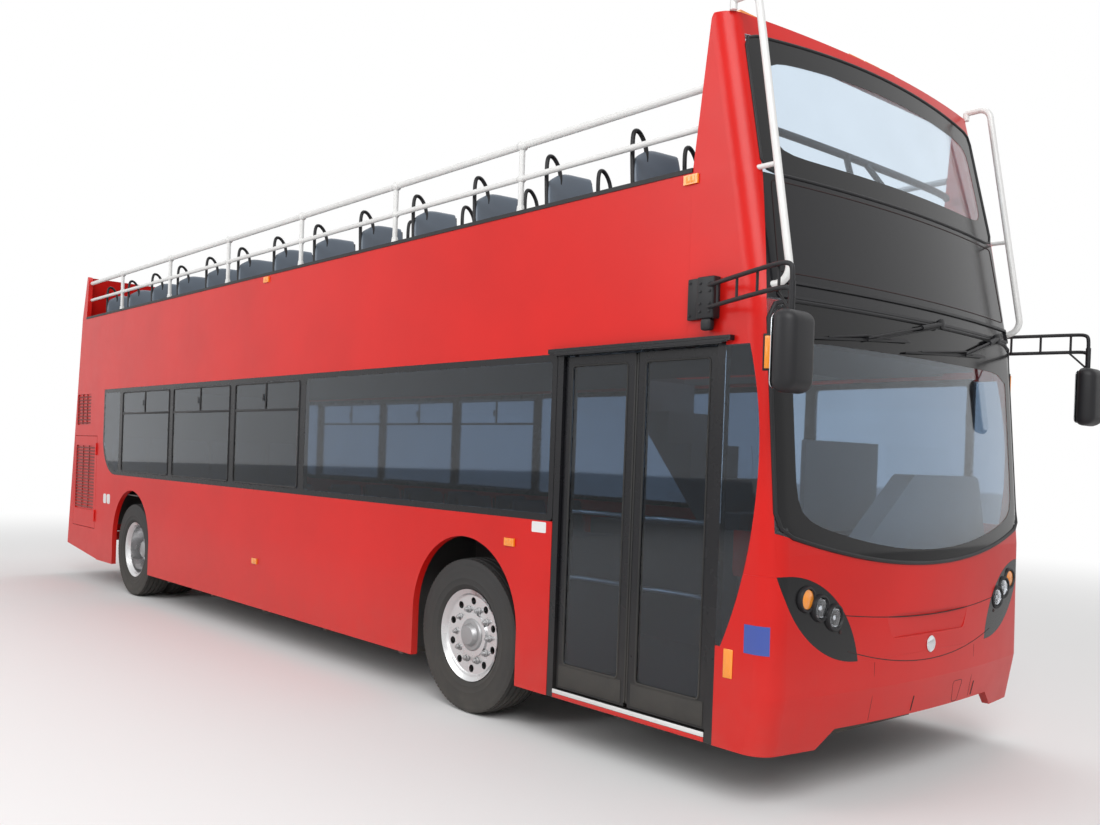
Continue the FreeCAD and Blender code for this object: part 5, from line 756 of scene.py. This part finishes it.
def seat_shell(x, high, window):
    """One moulded place: cushion and back in one sheet, dished, with a rolled edge and a low window corner."""
    rows = ((-0.430, 0.0), (-0.415, 0.027), (-0.30, 0.031), (-0.14, 0.019), (-0.055, 0.020), (-0.020, 0.065),
            (0.002, 0.19), (0.030, 0.46), (0.052, 0.72), (0.062, 0.86), (0.070, 0.955), (0.080, 0.985))
    columns = (-1, -0.86, -0.5, -0.2, 0.2, 0.5, 0.86, 1)
    start()
    bpy.ops.mesh.primitive_grid_add(x_subdivisions=len(columns) - 1, y_subdivisions=len(rows) - 1)
    seat = bpy.context.object
    for index, vertex in enumerate(seat.data.vertices):
        row, column = divmod(index, len(columns))
        share = columns[column]
        y, z = rows[row]
        if row > 5:
            z = 0.065 + (z - 0.065) * (high - 0.470) / 0.935
            if window and share * window > 0:
                z -= 0.095 * (share * window) ** 2 * max(0, row - 8) / 3
        pull = 0.022 if row >= 10 else 0.012 if row == 9 else 0.02 if row == 0 else 0.0
        rise = 0.012 * share ** 2 if row < 6 else 0.0
        lean = -0.014 * share ** 2 if row >= 6 else 0.0
        vertex.co = (x + share * (0.200 - pull), y + lean, 0.405 + z + rise)
    modify("SOLIDIFY", thickness=0.020, offset=0)
    modify("SUBSURF", levels=1, render_levels=1)
    return seat


def double_seat(high, window):
    """Two shells, their frame and pedestal, and on the deck two grab handles, set at the origin."""
    pair = one_piece([seat_shell(-0.218, high, window), seat_shell(0.218, high, window)])
    frame_parts = [pipe([(-0.40, -0.40, 0.385), (0.40, -0.40, 0.385)], 0.03),
                   pipe([(-0.40, -0.06, 0.385), (0.40, -0.06, 0.385)], 0.03)]
    handles = []
    for centre in (-0.218, 0.218):
        for edge in (-0.196, 0.196):
            if edge * window <= 0:
                frame_parts.append(pipe([(centre + edge, -0.40, 0.385), (centre + edge, -0.04, 0.385),
                                         (centre + edge, 0.02, 0.42),
                                         (centre + edge * 0.97, 0.080, high - 0.03)], 0.024, 3))
        if window:
            near, far = centre + window * 0.192, centre + window * 0.062
            handles.append(pipe([(near, -0.34, 0.385), (near, -0.02, 0.385), (near, 0.025, 0.46),
                                 (near, 0.055, high - 0.20),
                                 (near, 0.072, high + 0.04), (near - window * 0.03, 0.074, high + 0.078),
                                 (near - window * 0.085, 0.074, high + 0.060), (far, 0.066, high - 0.04),
                                 (far + window * 0.03, 0.060, high - 0.125)], 0.026, 4))
    frame_parts.append(plate([(-0.03, -0.33, 0.002), (-0.03, -0.10, 0.002), (-0.03, -0.14, 0.10), (-0.03, -0.07, 0.38),
                              (-0.03, -0.39, 0.38), (-0.03, -0.29, 0.10)], (0.06, 0, 0), 0.006))
    frame_parts.append(slab((-0.07, -0.345, 0.0005), (0.07, -0.085, 0.012), 0.003))
    return pair, one_piece(frame_parts), one_piece(handles) if handles else None


across, first_row, deck_pitch, deck_top = 1.275 - 0.05 - 0.026 - 0.425, -4.095, 0.705, 2.340
stairs_end = -4.145 + 0.23 * 8 + 0.43 + 0.3525
sets = ([], [], [])
for side in (-1, 1):
    sources = double_seat(1.080, side)
    for i in range(13):
        y = first_row + deck_pitch * i
        if side == 1 and i and y < stairs_end:
            continue
        for made, source in zip(sets, sources):
            made.append(again(source, (side * across, y, deck_top)))
    for spare in sources:
        bpy.data.objects.remove(spare)
for made, name, slot, material, node in ((sets[0], "deck_seat_shells", "seat_vinyl", shell_grey, "upper_seats"),
                                         (sets[1], "deck_seat_frames", "black_trim", black, None),
                                         (sets[2], "deck_seat_handles", "black_trim", black, "seat_handles")):
    one_piece(made)
    piece = settle(name, "coach_body", material, 50)
    if node:
        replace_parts(piece, node)
shells, frames, _ = double_seat(0.960, 0)
saloon_blue = finish("saloon_seat", (0.05, 0.07, 0.12), 0.5, dust=0.1, grain=500, bump=0.12, cloud=0.15)
sets = ([], [])
for i in range(5):
    for side in (-1, 1):
        for made, source in zip(sets, (shells, frames)):
            made.append(again(source, (side * across, -1.345 + 0.760 * i, 0.335)))
for x in (-across, 0, across):
    sets[0].append(again(shells, (x * 0.99, 4.033, 0.760)))
sets[1].append(again(frames, (0, 4.033, 0.760)))
one_piece(sets[0])
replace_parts(settle("saloon_seat_shells", "coach_body", saloon_blue, 50), "lower_seats")
assemble(sets[1], "saloon_seat_frames", "coach_body", black, 50)
for spare in (shells, frames):
    bpy.data.objects.remove(spare)


# Tyres: radial coach tyres with four straight grooves, fine shoulder sipes and moulded rings on the
# sidewall. The wheels are polished forgings with ten round hand holes and ten flanged nuts.
tyre_rubber = finish("tyre_rubber", (0.022, 0.022, 0.023), 0.68, dust=0.55, dust_high=1.1, grain=260, bump=0.3,
                     cloud=0.25,
                     dust_colour=(0.16, 0.145, 0.125))
WHEEL_Z, STUD_CIRCLE, STUDS = 0.4985, 0.1675, 10
alloy = finish("polished_alloy", (0.72, 0.72, 0.73), 0.16, dust=0.2, dust_high=0.8, grain=160, bump=0.03, cloud=0.15,
               spread=0.12, metal=1.0)
dress(alloy, "front_wheel_right", "front_wheel_left", "rear_wheel_right", "rear_wheel_left")


def tyre(centre_x, y):
    """One tyre turned from its section, with its four grooves; its shoulder sipes come from sipes()."""
    r = 0.4982
    half = [(0.0, r - 0.012), (0.010, r - 0.012), (0.013, r), (0.040, r - 0.0005), (0.043, r - 0.013),
            (0.053, r - 0.013),
            (0.056, r - 0.001), (0.086, r - 0.003), (0.089, r - 0.014), (0.098, r - 0.014), (0.101, r - 0.004),
            (0.124, r - 0.010), (0.131, r - 0.024), (0.1335, r - 0.040), (0.1320, r - 0.050), (0.1365, r - 0.062),
            (0.1385, r - 0.095), (0.1370, r - 0.125), (0.1390, r - 0.130), (0.1370, r - 0.136), (0.130, r - 0.165),
            (0.1315, r - 0.170), (0.1275, r - 0.176), (0.116, r - 0.194), (0.108, r - 0.2005), (0.100, r - 0.2015)]
    mirrored = [(-place, radius) for place, radius in reversed(half[1:])]
    return spun(half + mirrored, (centre_x, y, WHEEL_Z), "X", 72)


def sipes(centre_x, y):
    """Short ribs between the shoulder sipes, as one ring of low blocks."""
    start()
    bpy.ops.mesh.primitive_circle_add(vertices=4, fill_type="NGON")
    block = bpy.context.object
    for vertex, point in zip(block.data.vertices, ((0.1035, -0.0095, 0.4868), (0.1265, -0.0095, 0.4835),
                                                   (0.1265, 0.0095, 0.4835),
                                                   (0.1035, 0.0095, 0.4868))):
        vertex.co = point
    bpy.ops.object.mode_set(mode="EDIT")
    bpy.ops.mesh.select_all(action="SELECT")
    bpy.ops.mesh.extrude_region_move(TRANSFORM_OT_translate={"value": (0, 0, 0.0075)})
    recalculate()
    ring = []
    for i in range(96):
        turn = Matrix.Rotation(2 * pi * i / 96, 4, "X")
        ring.append(again(block, (centre_x, y, WHEEL_Z), turn))
        ring.append(again(block, (centre_x, y, WHEEL_Z), turn @ Matrix.Diagonal((-1, 1, 1, 1))))
    bpy.data.objects.remove(block)
    made = one_piece(ring)
    recalculate()
    return made


def nut(place, outward):
    """A flanged wheel nut with its stud's end."""
    start()
    bpy.ops.mesh.primitive_cylinder_add(vertices=6, radius=0.0175, depth=0.024, location=place, rotation=(0, pi / 2, 0))
    bpy.ops.object.transform_apply(location=True, rotation=True, scale=True)
    modify("BEVEL", width=0.0025, segments=2)
    body = bpy.context.object
    flange = spun([(0.0, 0.0005), (0.0, 0.024), (outward * 0.004, 0.024), (outward * 0.009, 0.018),
                   (outward * 0.009, 0.0005)],
                  place - Vector((outward * 0.013, 0, 0)), "X", 16)
    stud = spun([(0.0, 0.0005), (0.0, 0.0105), (outward * 0.008, 0.0105), (outward * 0.0095, 0.009),
                 (outward * 0.0095, 0.0005)],
                place + Vector((outward * 0.011, 0, 0)), "X", 12)
    return [body, flange, stud]


steel = finish("zinc_steel", (0.42, 0.42, 0.43), 0.35, dust=0.35, dust_high=0.9, grain=300, bump=0.08,
               cloud=0.25, metal=0.9)
for end, axle_y, faces, disc_x in (("front", -2.755, (1.094,), 1.173), ("rear", 3.185, (1.094, 0.772), 0.945)):
    for side, tag in ((-1, "right"), (1, "left")):
        body = f"front_wheel_{tag}" if end == "front" else f"rear_wheels_{tag}"
        node = f"front_tyre_{tag}" if end == "front" else f"rear_tyres_{tag}"
        rings = []
        for face in faces:
            rings += [tyre(side * face, axle_y), sipes(side * face, axle_y)]
        one_piece(rings)
        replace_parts(settle(f"{end}_tyre_set_{tag}", body, tyre_rubber, 40), node)
        nuts = []
        for i in range(STUDS):
            angle = 2 * pi * i / STUDS + (pi / STUDS if side > 0 else 0)
            nuts += nut(Vector((side * (disc_x + 0.0145), axle_y + STUD_CIRCLE * cos(angle),
                                WHEEL_Z + STUD_CIRCLE * sin(angle))), side)
        if end == "front":
            hub_x = 1.157
            nuts.append(spun([(side * 0.0, 0.0005), (side * 0.0, 0.105), (side * 0.030, 0.105), (side * 0.038, 0.098),
                              (side * 0.040, 0.075), (side * 0.060, 0.066), (side * 0.068, 0.058),
                              (side * 0.070, 0.0005)],
                             (side * hub_x, axle_y, WHEEL_Z), "X", 40))
        else:
            hub_x = 1.003
            nuts.append(spun([(side * 0.0, 0.0005), (side * 0.0, 0.125), (side * 0.040, 0.118), (side * 0.090, 0.098),
                              (side * 0.120, 0.085), (side * 0.128, 0.070), (side * 0.130, 0.0005)],
                             (side * hub_x, axle_y, WHEEL_Z), "X", 40))
            for i in range(8):
                angle = 2 * pi * i / 8
                place = (side * (hub_x + 0.118), axle_y + 0.055 * cos(angle), WHEEL_Z + 0.055 * sin(angle))
                nuts.append(bolt_head(place, side, 0.010, 0.010, 6))
        assemble(nuts, f"{end}_wheel_nuts_{tag}", body, steel)

# Underframe: black painted ladder frame, axles and knuckles, dulled by road dust, and the engine's plain
# block behind the rear axle.
chassis_black = finish("chassis_black", (0.018, 0.018, 0.018), 0.55, dust=0.8, dust_high=1.0, grain=160,
                       bump=0.2, cloud=0.3)
dress(chassis_black, "chassis_frame", "front_axle", "rear_axle", "knuckle_right", "knuckle_left")
dress(finish("engine_paint", (0.06, 0.065, 0.07), 0.5, dust=0.6, dust_high=1.6, grain=120, bump=0.3, cloud=0.3,
             metal=0.2), "engine_block")

# Cab: grained grey fascia with a tall hood over the instruments, a rimmed steering wheel, a plain
# wall behind and a sprung driver's seat in cloth.
fascia = finish("fascia_grain", (0.155, 0.175, 0.200), 0.5, dust=0.15, dust_high=2.0, grain=650, bump=0.25, cloud=0.12)
dress(fascia, "dashboard", "cab_wall")
cloth = finish("driver_cloth", (0.035, 0.04, 0.05), 0.85, dust=0.1, grain=900, bump=0.5, cloud=0.2)


def cushion(low, high, crown):
    """A stuffed pad whose faces crown and whose sides pull in between its corners."""
    pad = slab(low, high)
    bpy.ops.object.mode_set(mode="EDIT")
    bpy.ops.mesh.select_all(action="SELECT")
    bpy.ops.mesh.subdivide(number_cuts=5)
    bpy.ops.object.mode_set(mode="OBJECT")
    middle = [(a + b) / 2 for a, b in zip(low, high)]
    half = [(b - a) / 2 for a, b in zip(low, high)]
    thin = half.index(min(half))
    wide = [k for k in range(3) if k != thin]
    for vertex in pad.data.vertices:
        share = [(vertex.co[k] - middle[k]) / half[k] for k in range(3)]
        swell = (1 - share[wide[0]] ** 2) * (1 - share[wide[1]] ** 2)
        vertex.co[thin] += crown * swell * share[thin]
        for k, other in (wide, wide[::-1]):
            vertex.co[k] -= share[k] * 0.018 * (1 - share[other] ** 2)
    modify("SUBSURF", levels=2, render_levels=2)
    return pad


seat_parts = [cushion((0.40, -4.745, 0.68), (0.88, -4.30, 0.765), 0.012)]
back = cushion((0.40, -4.335, 0.78), (0.88, -4.265, 1.27), 0.010)
for vertex in back.data.vertices:
    vertex.co.y += (vertex.co.z - 0.78) * 0.10
seat_parts.append(back)
seat_parts.append(slab((0.46, -4.70, 0.3355), (0.82, -4.36, 0.40), 0.02, 3))
seat_parts.append(slab((0.50, -4.66, 0.40), (0.78, -4.40, 0.69), 0.03, 3))
one_piece(seat_parts)
driver = settle("driver_seat_pads", "coach_body", cloth, 60)
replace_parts(driver, "driver_seat")
binnacle = [plate([(x, -4.862, z) for x, z in loop([(0.42, 1.17), (0.86, 1.17), (0.84, 1.40), (0.44, 1.40)],
                                                   0.04, 5, 3)],
                  (0, 0.026, 0), 0.008)]
for x, z, r in ((0.55, 1.30, 0.055), (0.73, 1.30, 0.055), (0.64, 1.23, 0.028), (0.47, 1.22, 0.022),
                (0.81, 1.22, 0.022)):
    binnacle.append(spun([(0.0, 0.0005), (0.0, r), (0.010, r), (0.012, r * 0.92), (0.006, r * 0.86), (0.006, 0.0005)],
                         (x, -4.837, z), "Y", 28))
for row, z in enumerate((1.49, 1.54)):
    for i in range(7 - row):
        x = 0.30 + 0.075 * i
        binnacle.append(slab((x, -4.857, z), (x + 0.050, -4.846, z + 0.026), 0.004))
assemble(binnacle, "instrument_binnacle", "coach_body", black)
vents = []
for i in range(12):
    x = -0.99 + 0.165 * i
    vents.append(plate([(x, -5.012, 1.1495), (x + 0.120, -5.012, 1.1495), (x + 0.112, -5.012, 1.155),
                        (x + 0.008, -5.012, 1.155)],
                       (0, 0.020, 0), 0.001))
assemble(vents, "screen_vents", "coach_body", black)

# Tail: red panels with a top-hung engine door, round lamps in chromed rings, louvred grilles over the
# radiator, and a blank number plate.
dress(red_lens, "tail_lamps")


def tail_y(x, z):
    """Outer face of the tail."""
    low = 5.435 if z < 0.412 else 5.435 - 0.310 * (z - 0.412) / 2.745
    return low - (20 - sqrt(400 - x * x))


rings = []
for side in (-1, 1):
    for i in range(4):
        z = 0.700 + 0.165 * i
        centre = (side * 1.060, tail_y(1.06, z), z)
        rings.append(spun([(0.0, 0.064), (0.020, 0.064), (0.026, 0.068), (0.024, 0.076), (0.0, 0.080),
                           (-0.01, 0.080), (-0.01, 0.064)],
                          centre, "Y", 36))
assemble(rings, "tail_lamp_rings", "coach_body", chrome)
plate_y = tail_y(0, 0.46)
slab((-0.17, plate_y - 0.004, 0.425), (0.17, plate_y + 0.004, 0.51), 0.003)
settle("blank_number_plate", "coach_body", sign_white)
# The louvre blades are the body red darkened to about a third. This is painted shade for their recess, with real dust
# laid over it.
painted_shade_louvre_red = finish("louvre_red_with_painted_shade", (0.22, 0.006, 0.005), 0.45, dust=0.4, dust_high=3.0, grain=300, bump=0.1, cloud=0.3)
for side, tag in ((-1, "right"), (1, "left")):
    inner, outer = side * 1.2618, side * 1.2738
    for name, body, front, rear, low, count, pitch in (
            (f"service_louvres_{tag}", f"service_door_{tag}", 4.420, 5.085, 0.868, 20, 0.0372),
            (f"vent_louvres_{tag}", "coach_body", 4.605, 5.085, 1.872, 9, 0.0390)):
        blades = []
        for i in range(count):
            z = low + pitch * i
            blades.append(plate([(inner, front, z + 0.012), (outer - side * 0.001, front, z), (outer, front, z + 0.003),
                                 (inner, front, z + 0.017)], (0, rear - front, 0)))
        for share in (0.0, 0.33, 0.66, 1.0):
            y = front + 0.004 + (rear - front - 0.008) * share
            blades.append(slab((inner, y - 0.004, low - 0.008),
                               (outer - side * 0.004, y + 0.004, low + pitch * count), 0.0015))
        assemble(blades, name, body, painted_shade_louvre_red)
